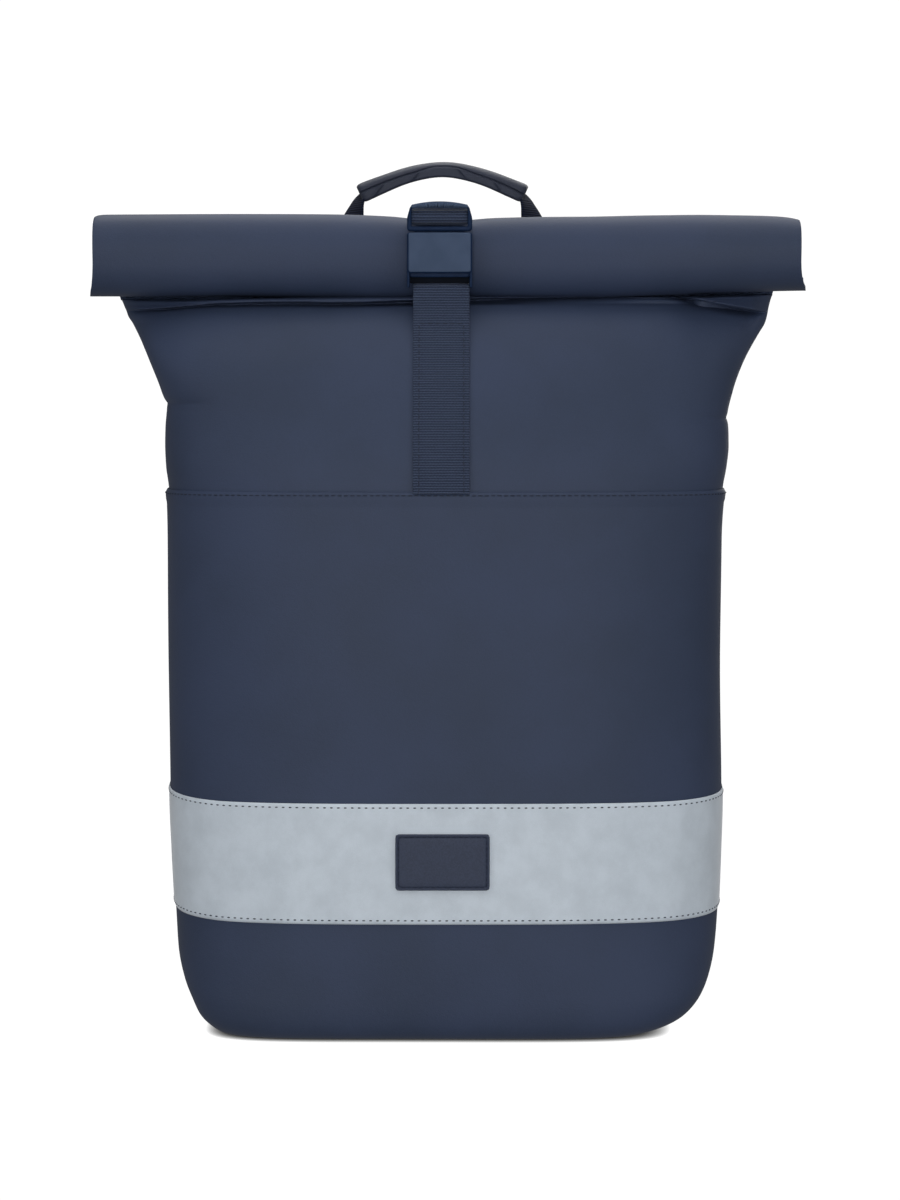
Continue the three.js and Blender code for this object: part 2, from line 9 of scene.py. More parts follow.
import bpy
import numpy as np
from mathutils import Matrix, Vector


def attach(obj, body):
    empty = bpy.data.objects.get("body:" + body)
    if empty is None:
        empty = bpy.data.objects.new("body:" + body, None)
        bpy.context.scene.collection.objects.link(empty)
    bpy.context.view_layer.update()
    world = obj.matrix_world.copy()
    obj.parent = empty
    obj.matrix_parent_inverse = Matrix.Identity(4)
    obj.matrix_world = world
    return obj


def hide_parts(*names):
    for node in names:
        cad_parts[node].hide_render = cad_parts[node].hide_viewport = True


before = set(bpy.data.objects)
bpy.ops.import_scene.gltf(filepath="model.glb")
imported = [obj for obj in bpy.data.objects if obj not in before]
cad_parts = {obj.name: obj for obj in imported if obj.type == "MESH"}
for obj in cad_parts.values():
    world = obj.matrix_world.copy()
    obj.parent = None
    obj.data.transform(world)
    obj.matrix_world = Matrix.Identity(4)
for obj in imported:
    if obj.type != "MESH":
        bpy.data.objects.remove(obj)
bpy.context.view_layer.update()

MM = 0.001
# Room between pieces that lie on each other
GAP = 0.3
# Steps of the fine lines from which evenly walked ones are read
FINE = Form(height=4000, walk=2000, turn=901, curve=40)
# Grids of the pieces, as rows and columns, and points of a path or an outline
GRID = Form(grip=(150, 110), pad=(130, 120))
COUNT = Form(handle_web=120, shoulder=170, webbing=160, sewn=400, sewn_top=30)
OUTLINE = Form(buckle=128, hook=160, adjuster=120, bar=64)

# Bag, from the base to the mouth
SECTION_COLUMNS = ("z", "left", "right", "front", "ridge", "back", "front_square", "back_square")
SECTIONS = np.array([
    (0, 117, 100, -53, 0, 47, 5.5, 3.4),
    (1.5, 121.6, 107, -58.5, 0, 52, 5.5, 3.6),
    (5, 126, 117, -62.5, 0, 55.5, 5.5, 3.9),
    (10, 131, 126.5, -64.4, 2, 57.5, 5.4, 4.1),
    (18, 135.2, 134.2, -65.6, 4, 59, 5.1, 4.3),
    (28, 139.7, 139.4, -66.2, 8, 60, 4.6, 4.5),
    (42, 143.1, 143, -66.7, 12, 60.5, 4.2, 4.6),
    (63, 144.7, 145.0, -67, 14, 60.5, 3.9, 4.6),
    (95, 146.4, 146.1, -67.4, 14, 60.5, 3.8, 4.6),
    (127, 147.5, 146.7, -67.6, 14, 60.5, 3.8, 4.6),
    (200, 147.8, 145.9, -68, 14, 60.5, 3.8, 4.6),
    (260, 147.7, 146.0, -67.6, 13, 60.5, 3.8, 4.6),
    (287, 148.2, 147.7, -66.8, 12, 60.5, 3.8, 4.5),
    (300, 149.5, 149.9, -65.6, 10, 60.5, 3.8, 4.5),
    (311, 149.6, 151.1, -63.6, 8, 60.5, 3.7, 4.3),
    (321, 149.4, 151.1, -61.2, 6, 60.5, 3.5, 4),
    (329, 148.8, 150.9, -59, 1, 60.5, 3.2, 3.7),
    (341, 151.8, 153.6, -55.4, 2, 60.5, 2.9, 3.3),
    (356, 158.2, 159.5, -49.6, 4, 60, 2.6, 2.9),
    (371, 165.7, 168, -41.6, 5, 58, 2.4, 2.6),
    (376, 168.4, 171, -38.2, 6, 56.5, 2.4, 2.5),
    (380, 171, 172.4, -34.8, 6, 54.5, 2.4, 2.5),
    (383, 172.1, 173.2, -31.8, 6, 51.3, 2.4, 2.5),
    (385.4, 173.2, 174, -29.4, 6, 47, 2.4, 2.5),
    (387.4, 174, 174.6, -26.6, 6, 42, 2.5, 2.6),
    (388.5, 174.5, 175, -22, 6, 33, 2.8, 2.8),
    (388.7, 174.8, 175, -13, 6, 22, 3.4, 3.4),
    (388.9, 175, 175, 1, 6, 11, 8, 8),
    (404, 179, 179, 1, 6, 11, 8, 8),
    (424, 183.8, 183.8, 1, 6, 11, 8, 8),
])
# Line of the tuck under the roll, across the front
TUCK = np.array([
    (-174, 382.8),
    (-155, 383.6),
    (-119, 386.2),
    (-80, 386.5),
    (-58, 386.2),
    (-18, 386.7),
    (18, 387.2),
    (90, 388.2),
    (124, 389.5),
    (132, 388),
    (150, 384.9),
    (168, 382.4),
    (176, 381.5),
])
# Depth of the slit along the tuck
SLIT = np.array([
    (-174, 0), (-150, 3), (-60, 5), (-25, 8), (25, 8), (60, 5),
    (100, 4), (116, 3), (130, 8), (152, 8), (166, 4), (174, 0),
])
# Depths and fades of the tuck: the plain value, then what the folded corner adds to it
TUCK_FORM = {
    "swell": (2.6, 3.4),
    "swell_fade": (5, 4),
    "drop": (4, 5.5),
    "drop_fade": (6, 6),
    "slit_fade": (1, 1.4),
}
TUCK_EDGE = 0.25
TUCK_TOP = Form(z=387.4, fade=1.2)
TUCK_ENDS = (162, 176)
TUCK_ROOM = Form(depth=19, low=(366, 379), high=(388.5, 388.9))
FOLD = Form(low=(112, 136), high=(160, 172))
FOLD_LIFT = Form(height=2.6, across=(100, 165), low=(377, 386), high=(389, 422))
# Depths between which a form fades in at the bag's front half
FRONT_HALF = (6, -6)
WAVES = Form(slow=0.3, cross=0.15, neck_slow=0.35, neck_cross=0.45)
NECK = Form(low=(292, 312), high=(366, 376))
NECK_FLAT = Form(z=354, height=20, left=1.5, right=0)
SIDE_CREASE = Form(left=333.5, right=326, deep=1.5, width=2.4, reach=(118, 147))
LIP = Form(height=1.5, low=(385.8, 387.4), top=389, front=(-16, -24), ends=(140, 170))
WALL = 2.0
BASE = Form(thick=2.2, ease=10, rings=(0.05, 0.4, 0.75, 0.94))
# Rows of the shell: from a height, to a height, and how many
SHELL_ROWS = ((0, 320, 120), (320, 340, 24), (340, 374, 18), (374, 388.4, 76), (388.4, 424, 30))
SHELL_COLUMNS = 300
INNER_ROWS = 40
PANEL = Form(bottom=1, top=288.3, share=0.312, low=0.3, high=1.5, rows=170, columns=210)
PANEL_EDGE = Form(hem=6, hem_thick=0.4, round=1.2, foot=9, thin=0.25)
BAND = Form(bottom=63, top=126.3, share=0.308, low=1.75, high=2.3, rows=60, columns=210)
BAND_EDGE = Form(round=0.8, thin=0.3)
BAND_RISE = Form(left=4.5, right=2.6, ease=(0.15, 0.27))
LABEL = Form(x=-2, y=-71.8, z=95.9, width=49, height=29.4, corner=1.5)
# Edge profiles of plates, from the back to the front: inset, and depth behind the plate's face
LABEL_EDGE = (
    (10, 1.5), (2, 1.5), (0.2, 1.5), (0, 1.25), (0, 0.4), (0.12, 0.12), (0.4, 0), (0.95, 0),
    (1.15, 0.1), (1.3, 0.42), (1.75, 0.42), (1.95, 0.15), (2.3, 0.08), (6, 0.05), (12, 0.05),
)
COVER_EDGE = ((6, 4), (0.5, 4), (0, 3.5), (0, 1.5), (0.15, 0.9), (0.6, 0.45), (1.2, 0.4), (8, 0.4))
FACE_EDGE = ((6, 0.6), (0.3, 0.6), (0, 0.5), (0, 0.3), (0.1, 0.1), (0.35, 0.02), (1, 0), (6, 0))
CROWN_EDGE = ((3, 1.25), (0.2, 1.25), (0, 1.05), (0, 0.35), (0.15, 0.1), (0.5, 0), (3, 0))
TAB_EDGE = (
    (6, 2.2), (2.6, 2.2), (2.2, 1.95), (1.8, 2.2), (0.5, 2.2), (0, 1.7), (0, 0.3), (0.4, 0), (5, 0),
)
# One rounded edge of a bar, for a radius of 1
BAR_EDGE = np.array([(1.1, 0), (1, 0), (0.3, 0.3), (0, 1)])

# Stitches: length, pause and radius
HEM_STITCH = (2.4, 0.9, 0.34)
BAND_STITCH = (1.5, 2.1, 0.34)
LABEL_STITCH = (2.3, 0.8, 0.26)
STRAP_STITCH = (2.6, 0.9, 0.3)
SEAM = Form(share=0.304, columns=420, hem=2, band=2.1)
LABEL_SEAM = Form(inset=1.5, depth=0.36)
STRAP_SEAM = Form(half=11.6, top=375.4, lift=0.05, out=(0.0, -1.0, 0.2))

# Rolled top
ROLL = Form(x=0.3, y=-15.5, z=411, reach=186.2, rows=240, columns=160, crowd=1.4)
ROLL_PINCH = Form(deep=0.055, width=34, flat=0.8, flat_width=20)
ROLL_SQUARE = Form(above=2.1, below=2.6, change=(-0.3, 0.3), start=(0.25, 0.42))
ROLL_START = 0.15
ROLL_TAPER = Form(start=65, above=0.07, below=0.14)
ROLL_CORNER = Form(left=0.05, right=0.1)
ROLL_CORNER_FADE = Form(left=1.8, right=7)
ROLL_FLARE = Form(left=3, right=4.2)
ROLL_HOLLOW = Form(depth=0.7, height=24)
ROLL_INWARD = Form(share=0.006, start=0.9, turns=1.5)
ROLL_EDGE = 187
# Rise of the roll's top edge along the bag
ROLL_TOP = np.array([
    (-187, 0.6), (-60, 0.7), (-20, 0.2), (20, -0.4), (70, -0.5), (110, 0.6), (140, 1.4), (187, 1.6),
])
# Rise of the roll's lower edge along the bag
ROLL_FOOT = np.array([
    (-187, 1), (-120, 0.9), (-60, -0.6), (-20, -2.2), (20, -1.6), (60, -0.4), (100, 0), (140, 0.5),
    (187, 1),
])
ROLL_COLUMNS = ("turns", "depth", "height", "wall_depth", "wall_height")
ROLL_TURNS = np.array([
    (0.105, 33.6, 21.66, 12.7, 0),
    (0.18, 31, 21.7, 8, 2),
    (0.25, 27, 21.7, 2.6, 2.6),
    (0.5, 22, 21.7, 2.6, 2.6),
    (0.75, 19, 21.7, 2.6, 2.6),
    (1, 15.2, 19, 2.6, 2.6),
    (1.25, 15.5, 16.8, 2.6, 2.6),
    (1.5, 17.4, 16.6, 2.6, 2.6),
    (1.75, 14.4, 16.8, 2.6, 2.6),
    (2, 10.6, 14.4, 2.6, 2.6),
    (2.25, 11, 11.6, 2.6, 2.6),
    (2.5, 12.6, 11.4, 2.6, 2.6),
])

# Straps, seen from the side
WEB = Form(width=29.4, thick=1.6, x=-2.6, rib=1.35, rib_height=0.09, yarn=1.6)
WEB_EDGE = Form(columns=17, power=12, thin=0.25)
LOWER_STRAP_Z = (287.4, 300, 311, 321, 329, 341, 356)
LOWER_STRAP_LIFT = 0.7
LOWER_STRAP_END = [
    (-43.1, 384), (-42.9, 390.4), (-42.2, 394), (-40.4, 395.7), (-37.2, 396), (-35, 396.1),
]
LOWER_STRAP_ROWS = 560
UPPER_STRAP = [
    (-40.2, 427.4), (-43, 428.4), (-44, 430.7), (-43, 433), (-40.2, 434.3), (-30, 434.4),
    (-15.5, 433.4), (-4, 432.2), (5.4, 429.6), (10.9, 425.6), (12.4, 418), (13.2, 400),
    (16.4, 390.6), (28, 389.6), (40, 388.4), (46, 387.2),
]
UPPER_STRAP_WIDTH = 29.5
UPPER_STRAP_ROWS = 700
SHOULDER_STRAP = np.array([
    (56, 63.4, 338, 56, 5),
    (56.5, 65, 350, 57, 7.4),
    (57, 70.4, 359, 58, 8.4),
    (58, 79, 362, 58, 8.4),
    (59, 88, 357, 58, 8.4),
    (60, 94, 345, 58, 8.4),
    (62, 99.6, 320, 58, 8.4),
    (66, 103.4, 280, 57, 8.4),
    (72, 104.2, 240, 55, 8.4),
    (79, 101.6, 202, 52, 8),
    (84, 97.8, 178, 48, 7.4),
    (86.6, 95.4, 165, 43, 4),
    (88, 93.2, 154, 38, 4),
])
STRAP_EDGE = Form(columns=33, power=14, thin=0.25, rim=0.42, crown=(0.6, 0.93))
STRAP_WEB = 25
LOWER_WEBBING = np.array([
    (88.4, 94.1, 152.5),
    (90.4, 91.6, 140),
    (93, 88.6, 126),
    (98, 81.2, 100),
    (103, 73.4, 74),
    (105.4, 69.8, 58),
    (106.4, 68.8, 44),
])

# Handle
HANDLE = Form(x=-2.3, y=62, half=45.8, apex=462, rise=16.9, spread=30.7)
GRIP = Form(depth=26, thin=8.2, thick=10.6, above=3.4, below=9, tip=0.09)
GRIP_FOLD = Form(turn=0.83, drop=0.11, ease=(0.08, 0.42), middle=0.03, right=0.08)
GRIP_VALLEY = Form(deep=0.12, above=0.04, below=0.09)
# Slanting creases of the grip: place along it and lean
GRIP_CREASES = ((-0.27, -0.16), (0.18, 0.14), (-0.7, -0.2), (0.62, 0.18))
GRIP_CREASE = Form(height=0.1, width=0.022, start=(0.02, 0.2), end=(1.1, 0.5), ripple=0.025)
GRIP_END = Form(draw=0.22, fade=0.9, core=0.72, deep=5, lip=0.6)
HANDLE_WEB = np.array([
    (57, 59.9, 364, 0),
    (56.4, 57.6, 376, 2),
    (55.4, 57.6, 388, 11),
    (54, 60, 404, 27),
    (52.4, 61.4, 422, 45),
    (49.3, 62, 437, 63),
    (47.5, 62, 442.4, 71),
    (45.4, 62, 446.6, 75),
    (43, 62, 449.4, 77),
])

# Buckle
BUCKLE = Form(x=-3.5, y=-46.5)
CATCH = Form(width=34, bottom=401.4, top=422.7, corner=1.3)
FACE = Form(width=32.3, height=20.4, corner=0.9, up=0.2)
# Bars: depths behind the buckle's front
RAIL = Form(half=0.7, bottom=393.8, top=421.9, front=0.9, back=9.5, round=0.5)
SILL = Form(half=15.6, bottom=399.4, top=402, front=2.4, back=3.8, round=0.5)
# Bar in the slot below the sill, dressed near-black as painted shade
SLOT = Form(half=15.8, bottom=396.3, top=400.4, front=4.1, back=5.5, round=0.3)
BAR = Form(half=15.6, bottom=429.9, top=431.5, front=4.7, back=5.9, round=0.4)
TONGUE = Form(half=13, bottom=408.6, top=424.2, front=4.3, back=6.3, round=0.6)
HOOK = Form(half=17, bottom=423.3, top=436.2, corner=1.6, behind=0.4, thick=4.6, round=0.8)
HOOK_ARCH = Form(rise=2.4, rise_from=0.5, taper=0.085, taper_from=0.45)
CROWN = Form(width=29.6, height=0.9, middle=435.75, corner=0.4, proud=0.25)
WINDOW = Form(half=14.6, bottom=425.6, top=435.1, corner=0.8)
ADJUSTER = Form(width=33, height=20, thick=3.4, corner=3, round=1)
ADJUSTER_WINDOW = Form(width=27, height=14.2, corner=1.2)
ADJUSTER_BAR = Form(half=15, bottom=-2, top=2, front=0.3, back=3.2, round=1)
ADJUSTER_PLACE = Form(x=88.4, y=95.5, z=153.6, slope=0.2)
TAB = Form(bottom_half=17, top_half=13, height=24, corner=0.12, x=104, y=65.4, z=38)
PAD = Form(bottom=28, top=329, share=0.172, half=100, edge=1.8, crown=6.2, swell=(4, 22))
PAD_EDGE = Form(round=1.2, thin=0.3)
PAD_CHANNEL = Form(place=0.36, width=0.035, deep=0.75, ends=(10, 40))
PAD_CHECK = 1.4

# Stage, in metres
CAMERA = Form(place=(0.0019, -1.7, 0.3465), pitch=4.0, lens=94.86, sensor=36, far=100)
SKY = Form(seen=1.05, above=0.2, below=0.32, change=(-0.12, -0.02))
FLOOR = Form(side=60.0, white=1.05, shadow_reach=0.0045, shadow_samples=16)
# Lamps: name, place, target, size and power
LAMPS = (
    ("front", (0, -2.4, 0.3), (0, 0, 0.25), 0.8, 21.4),
    ("top", (0, -0.75, 2.3), (0, 0, 0.2), 1.6, 18.4),
    ("back", (0, 1.2, 2.2), (0, 0, 0.4), 1.6, 24.6),
    ("left", (-2.2, -1.6, 0.9), (0, 0, 0.25), 1.4, 8.8),
    ("right", (2.2, -1.6, 0.9), (0, 0, 0.25), 1.4, 9.6),
    ("rear", (0.6, 2.6, 0.9), (0, 0, 0.25), 1.6, 16),
)


# Curves

def hermite(t, width, values, slopes):
    """Cubic between two values over a width, with a slope at each end."""
    before = (1 + 2 * t) * (1 - t) ** 2 * values[0] + t * (1 - t) ** 2 * width * slopes[0]
    after = t * t * (3 - 2 * t) * values[1] + t * t * (t - 1) * width * slopes[1]
    return before + after


def smooth(x, xs, ys):
    """Monotone cubic through (xs, ys).

    Its Hermite pieces have slopes that are the harmonic means of the chords beside them.
    """
    step = np.diff(xs)
    chord = np.diff(ys) / step
    slope = np.empty(len(xs))
    slope[0], slope[-1] = chord[0], chord[-1]
    rising = chord[:-1] * chord[1:]
    total = chord[:-1] + chord[1:]
    slope[1:-1] = np.where(rising > 0, 2 * rising / np.where(rising > 0, total, 1), 0)
    i = np.clip(np.searchsorted(xs, x, side="right") - 1, 0, len(step) - 1)
    return hermite((x - xs[i]) / step[i], step[i], (ys[i], ys[i + 1]), (slope[i], slope[i + 1]))


def table_at(table, x):
    """Second column of a table at places in its first, smooth between its rows."""
    return smooth(x, table[:, 0], table[:, 1])


def table_rows(names, table, xs, x):
    """Every column of a table, named and upright, at places x; its rows are at the places xs."""
    columns = zip(names, table.T)
    return Form(**{name: smooth(x, xs, column)[:, None] for name, column in columns})


def by_side(x, table):
    """The left value of a table where x is negative, and its right value elsewhere."""
    return np.where(x < 0, table.left, table.right)


def walk(line):
    """Way walked along a line of points, from 0 at its first point."""
    return np.concatenate([[0], np.cumsum(np.linalg.norm(np.diff(line, axis=0), axis=1))])


def curve(points, count):
    """Evenly walked smooth line through the points, and its length.

    Its Hermite pieces have the slopes of their neighbours' chords.
    """
    points = np.asarray(points, float)
    walked = walk(points[:, :3])
    slope = np.gradient(points, walked, axis=0)

    def at(place):
        i = np.clip(np.searchsorted(walked, place, side="right") - 1, 0, len(walked) - 2)
        width = (walked[i + 1] - walked[i])[:, None]
        t = (place[:, None] - walked[i][:, None]) / width
        return hermite(t, width, (points[i], points[i + 1]), (slope[i], slope[i + 1]))

    fine = np.linspace(0, walked[-1], FINE.curve * len(points))
    length = walk(at(fine)[:, :3])
    return at(np.interp(np.linspace(0, length[-1], count), length, fine)), length[-1]


def step_up(low, high, value):
    """Smooth step from 0 at low to 1 at high."""
    t = np.clip((value - low) / (high - low), 0, 1)
    return t * t * (3 - 2 * t)


def extent(form):
    """Middle and height of a form, from its bottom and its top."""
    return (form.top + form.bottom) / 2, form.top - form.bottom


def hump(form, value):
    """Smooth step up over the form's low range, and down again over its high one."""
    return step_up(*form.low, value) * (1 - step_up(*form.high, value))


def edge_round(distance, radius):
    """Rise of a rounded edge: 0 at the edge and 1 beyond the radius, along a quarter circle."""
    t = np.clip(distance / radius, 0, 1)
    return np.sqrt(np.maximum(1 - (1 - t) ** 2, 0))


def rim(rise, thin):
    """Thickness from the thin share at an edge to 1 where the rise is full."""
    return thin + (1 - thin) * rise


def superellipse(cos, sin, power):
    """Radius of a superellipse in a direction: round for a power of 2, and squarer above."""
    return (np.abs(cos) ** power + np.abs(sin) ** power) ** (-1 / power)


def unit(vectors):
    """Vectors of length 1 along the given ones."""
    return vectors / np.maximum(np.linalg.norm(vectors, axis=-1, keepdims=True), 1e-9)


# Meshes

def grid_faces(rows, columns, wrap_rows=False, wrap_columns=False):
    """Quads of a grid of points numbered row by row, closing round where asked."""
    r = np.arange(rows if wrap_rows else rows - 1)[:, None]
    c = np.arange(columns if wrap_columns else columns - 1)[None]
    below, above = r * columns, (r + 1) % rows * columns
    left, right = c, (c + 1) % columns
    return np.stack([below + left, below + right, above + right, above + left], -1).reshape(-1, 4)


def volume(points, faces):
    """Signed volume inside quads, as a sum of tetrahedra from the first point."""
    a, b, c, d = (points[faces[:, k]] - points[0] for k in range(4))
    halves = np.einsum("ij,ij->i", a, np.cross(b, c)) + np.einsum("ij,ij->i", a, np.cross(c, d))
    return halves.sum()


def add_object(name, data):
    """Object that shows the data, linked to the scene."""
    obj = bpy.data.objects.new(name, data)
    bpy.context.scene.collection.objects.link(obj)
    return obj


def add_piece(name, points, faces, uv=None, fans=()):
    """Mesh object from points in millimetres.

    Its faces turn outwards by the sign of the volume, and fans of triangles close its poles.
    """
    points = points.reshape(-1, 3)
    fan_faces = [
        np.stack([ring, np.roll(ring, -1), np.full(len(ring), pole)], -1) for ring, pole in fans
    ]
    as_quads = [np.concatenate([fan, fan[:, 2:]], 1) for fan in fan_faces]
    if volume(points, np.concatenate([faces, *as_quads])) < 0:
        faces = faces[:, ::-1]
        fan_faces = [fan[:, ::-1] for fan in fan_faces]
    mesh = bpy.data.meshes.new(name)
    triangles = [face for fan in fan_faces for face in fan.tolist()]
    mesh.from_pydata((points * MM).tolist(), [], faces.tolist() + triangles)
    if uv is not None:
        layer = mesh.uv_layers.new(name="surface")
        corner = np.empty(len(mesh.loops), np.int32)
        mesh.loops.foreach_get("vertex_index", corner)
        layer.data.foreach_set("uv", uv.reshape(-1, 2)[corner].astype(np.float32).ravel())
    mesh.polygons.foreach_set("use_smooth", np.ones(len(mesh.polygons), bool))
    mesh.validate()
    mesh.update()
    return add_object(name, mesh)


def tube(name, rings):
    """Closed piece from rings of points, with a fan over the first ring and one over the last."""
    rows, columns = rings.shape[:2]
    poles = np.stack([rings[0].mean(0), rings[-1].mean(0)])
    points = np.concatenate([rings.reshape(-1, 3), poles])
    first = np.arange(columns)[::-1]
    last = np.arange(columns) + (rows - 1) * columns
    fans = [(first, rows * columns), (last, rows * columns + 1)]
    return add_piece(name, points, grid_faces(rows, columns, wrap_columns=True), fans=fans)


def sheet(name, outer, inner, uv=None):
    """Closed sheet between two grids of points, with a strip along each of its four edges."""
    rows, columns = outer.shape[:2]
    number = np.arange(rows * columns).reshape(rows, columns)
    other = number + rows * columns

    def strip(a, b):
        return np.stack([a[:-1], a[1:], b[1:], b[:-1]], -1)

    faces = np.concatenate([
        grid_faces(rows, columns),
        grid_faces(rows, columns)[:, ::-1] + rows * columns,
        strip(other[0], number[0]),
        strip(number[-1], other[-1]),
        strip(number[:, 0], other[:, 0]),
        strip(other[:, -1], number[:, -1]),
    ])
    if uv is not None:
        uv = np.concatenate([uv.reshape(-1, 2)] * 2)
    return add_piece(name, np.concatenate([outer.reshape(-1, 3), inner.reshape(-1, 3)]), faces, uv)


def normals(points, wrap_columns=False):
    """Unit normals of a grid: the cross product of its two directions."""
    up = np.gradient(points, axis=0)
    if wrap_columns:
        across = np.roll(points, -1, 1) - np.roll(points, 1, 1)
    else:
        across = np.gradient(points, axis=1)
    return unit(np.cross(across, up))


def stitches(name, line, out, size):
    """Row of thread stitches along a line: each one a six-sided spindle, lying half into the cloth."""
    length, pause, radius = size
    out = np.broadcast_to(out, line.shape)
    walked = walk(line)
    count = max(int(walked[-1] // (length + pause)), 1)
    place = (np.arange(count) + 0.5) * walked[-1] / count

    def at(values, where):
        return np.stack([np.interp(where, walked, values[:, k]) for k in range(3)], -1)

    middle = at(line, place)
    along = unit(at(line, place + 0.5) - at(line, place - 0.5))
    up = unit(at(out, place))
    side = np.cross(along, up)
    reach = np.array([-1, -0.82, -0.4, 0.4, 0.82, 1]) * length / 2
    girth = np.array([0.25, 0.75, 1, 1, 0.75, 0.25]) * radius
    turn = np.arange(6) * np.pi / 3
    ring = girth[:, None, None] * np.stack([np.cos(turn), np.sin(turn)], -1)
    points = (
        middle[:, None, None]
        + reach[None, :, None, None] * along[:, None, None]
        + ring[None, ..., :1] * side[:, None, None]
        + ring[None, ..., 1:] * up[:, None, None]
    )
    one = grid_faces(6, 6, wrap_columns=True)
    caps = np.array([[5, 4, 3, 0], [3, 2, 1, 0], [30, 31, 32, 33], [30, 33, 34, 35]])
    one = np.concatenate([one, caps])
    faces = (one[None] + (np.arange(count) * 36)[:, None, None]).reshape(-1, 4)
    return add_piece(name, points.reshape(-1, 3), faces)


# Bag surface

def bag_rows(place):
    """Every section column at row places counted along the table, smooth through its rows."""
    return table_rows(SECTION_COLUMNS, SECTIONS, np.arange(len(SECTIONS), dtype=float), place)


def place_at(z):
    """Row place of a height, read backwards from the smooth heights."""
    fine = np.linspace(0, len(SECTIONS) - 1, FINE.height)
    return np.interp(z, bag_rows(fine).z[:, 0], fine)


def drape(x, y, z):
    """Hang of the cloth, in millimetres along its normal.

    Two products of slow sine waves, whose lengths and phases are free choices, are stronger in
    the loose neck. A crease runs into each side of the neck, and the cloth's top lip rises to
    meet the roll.
    """
    slow = np.sin(x / 61 + 0.6 * np.sin(z / 47 + 1.1) + 0.7)
    slow = slow * np.sin(z / 53 + 0.5 * np.sin(x / 83) + 0.4)
    cross = np.sin((x + 1.4 * z) / 37 + 0.8 * np.sin(y / 29)) * np.sin((x - z) / 71 + 2.1)
    neck = hump(NECK, z)
    waves = WAVES.slow * slow + WAVES.cross * cross
    waves = waves + neck * (WAVES.neck_cross * cross + WAVES.neck_slow * slow)
    dent = np.exp(-np.abs(z - by_side(x, SIDE_CREASE)) / SIDE_CREASE.width)
    dent = dent * step_up(*SIDE_CREASE.reach, np.abs(x))
    lip = step_up(*LIP.low, z) * (z < LIP.top) * step_up(*LIP.front, y)
    lip = lip * (1 - step_up(*LIP.ends, np.abs(x)))
    return waves - SIDE_CREASE.deep * dent + LIP.height * lip


def fold_lift(x):
    """Rise of the folded corner of cloth, eased in across the bag."""
    return FOLD_LIFT.height * step_up(*FOLD_LIFT.across, x)


def tuck(x, y, z):
    """Depth of the tuck under the roll, in millimetres away from the viewer.

    The cloth swells forward above the tuck's line, drops back below it and is slit along it.
    Each of the three fades with the distance from the line, and is stronger under the folded
    corner on the right.
    """
    corner = hump(FOLD, x)
    values = TUCK_FORM.items()
    form = Form(**{name: plain + extra * corner for name, (plain, extra) in values})
    above = z - table_at(TUCK, x)
    below = np.maximum(-above, 0)
    over = step_up(-TUCK_EDGE, TUCK_EDGE, above)
    swell = over * np.exp(-np.maximum(above, 0) / form.swell_fade) * form.swell
    drop = (1 - over) * np.exp(-below / form.drop_fade) * form.drop
    slit = (1 - over) * np.exp(-((below / form.slit_fade) ** 2)) * table_at(SLIT, x)
    top = 1 - step_up(0, TUCK_TOP.fade, z - (TUCK_TOP.z + fold_lift(x)))
    ends = 1 - step_up(*TUCK_ENDS, np.abs(x))
    return ends * top * step_up(*FRONT_HALF, y) * (drop + slit - swell)


def bag(place, share):
    """Points of the bag at row places and shares of its way round, from 0 at the front's middle.

    Each section is two half superellipses, front and back, walked by their own length on the
    left and on the right, so shares of 0.5 and -0.5 meet at the middle of the back.
    """
    row = bag_rows(place)
    turn = np.linspace(-np.pi / 2, np.pi / 2, FINE.turn)[None]
    cos, sin = np.cos(turn), np.sin(turn)
    front = sin < 0
    depth = np.where(front, row.ridge - row.front, row.back - row.ridge)
    neck = np.exp(-(((row.z - NECK_FLAT.z) / NECK_FLAT.height) ** 2))
    share = (np.asarray(share) + 0.5) % 1 - 0.5
    found = []
    for reach, flat in ((-row.left, NECK_FLAT.left), (row.right, NECK_FLAT.right)):
        square = np.where(front, row.front_square + flat * neck, row.back_square)
        radius = superellipse(cos, sin, square)
        x = reach * radius * cos
        y = row.ridge + depth * radius * sin
        walked = np.cumsum(np.hypot(np.diff(x), np.diff(y)), axis=1)
        walked = np.concatenate([np.zeros((len(x), 1)), walked], 1)
        pick = np.abs(share) * 2
        found.append([
            np.stack([np.interp(pick * way[-1], way, line) for way, line in zip(walked, values)])
            for values in (x, y)
        ])
    left = (share < 0)[None]
    points = [np.where(left, a, b) for a, b in zip(*found)]
    z = row.z + fold_lift(points[0]) * hump(FOLD_LIFT, row.z)
    return np.stack([*points, z], -1)


def cloth(place, share, wrap=False):
    """Bag points moved by the hang of the cloth, and their normals."""
    points = bag(place, share)
    out = normals(points, wrap)
    place_xyz = np.moveaxis(points, -1, 0)
    points = points + out * drape(*place_xyz)[..., None]
    points[..., 1] += tuck(*place_xyz)
    return points, normals(points, wrap)


def walked_places(bottom, top, count):
    """Row places from one height to another, evenly spaced along the front and up the side together."""
    fine = np.linspace(place_at(bottom), place_at(top), FINE.walk)
    row = bag_rows(fine)
    way = sum(np.abs(np.diff(column[:, 0])) for column in (row.z, row.front, row.left))
    return np.interp(np.linspace(0, way.sum(), count), np.concatenate([[0], np.cumsum(way)]), fine)


# Materials

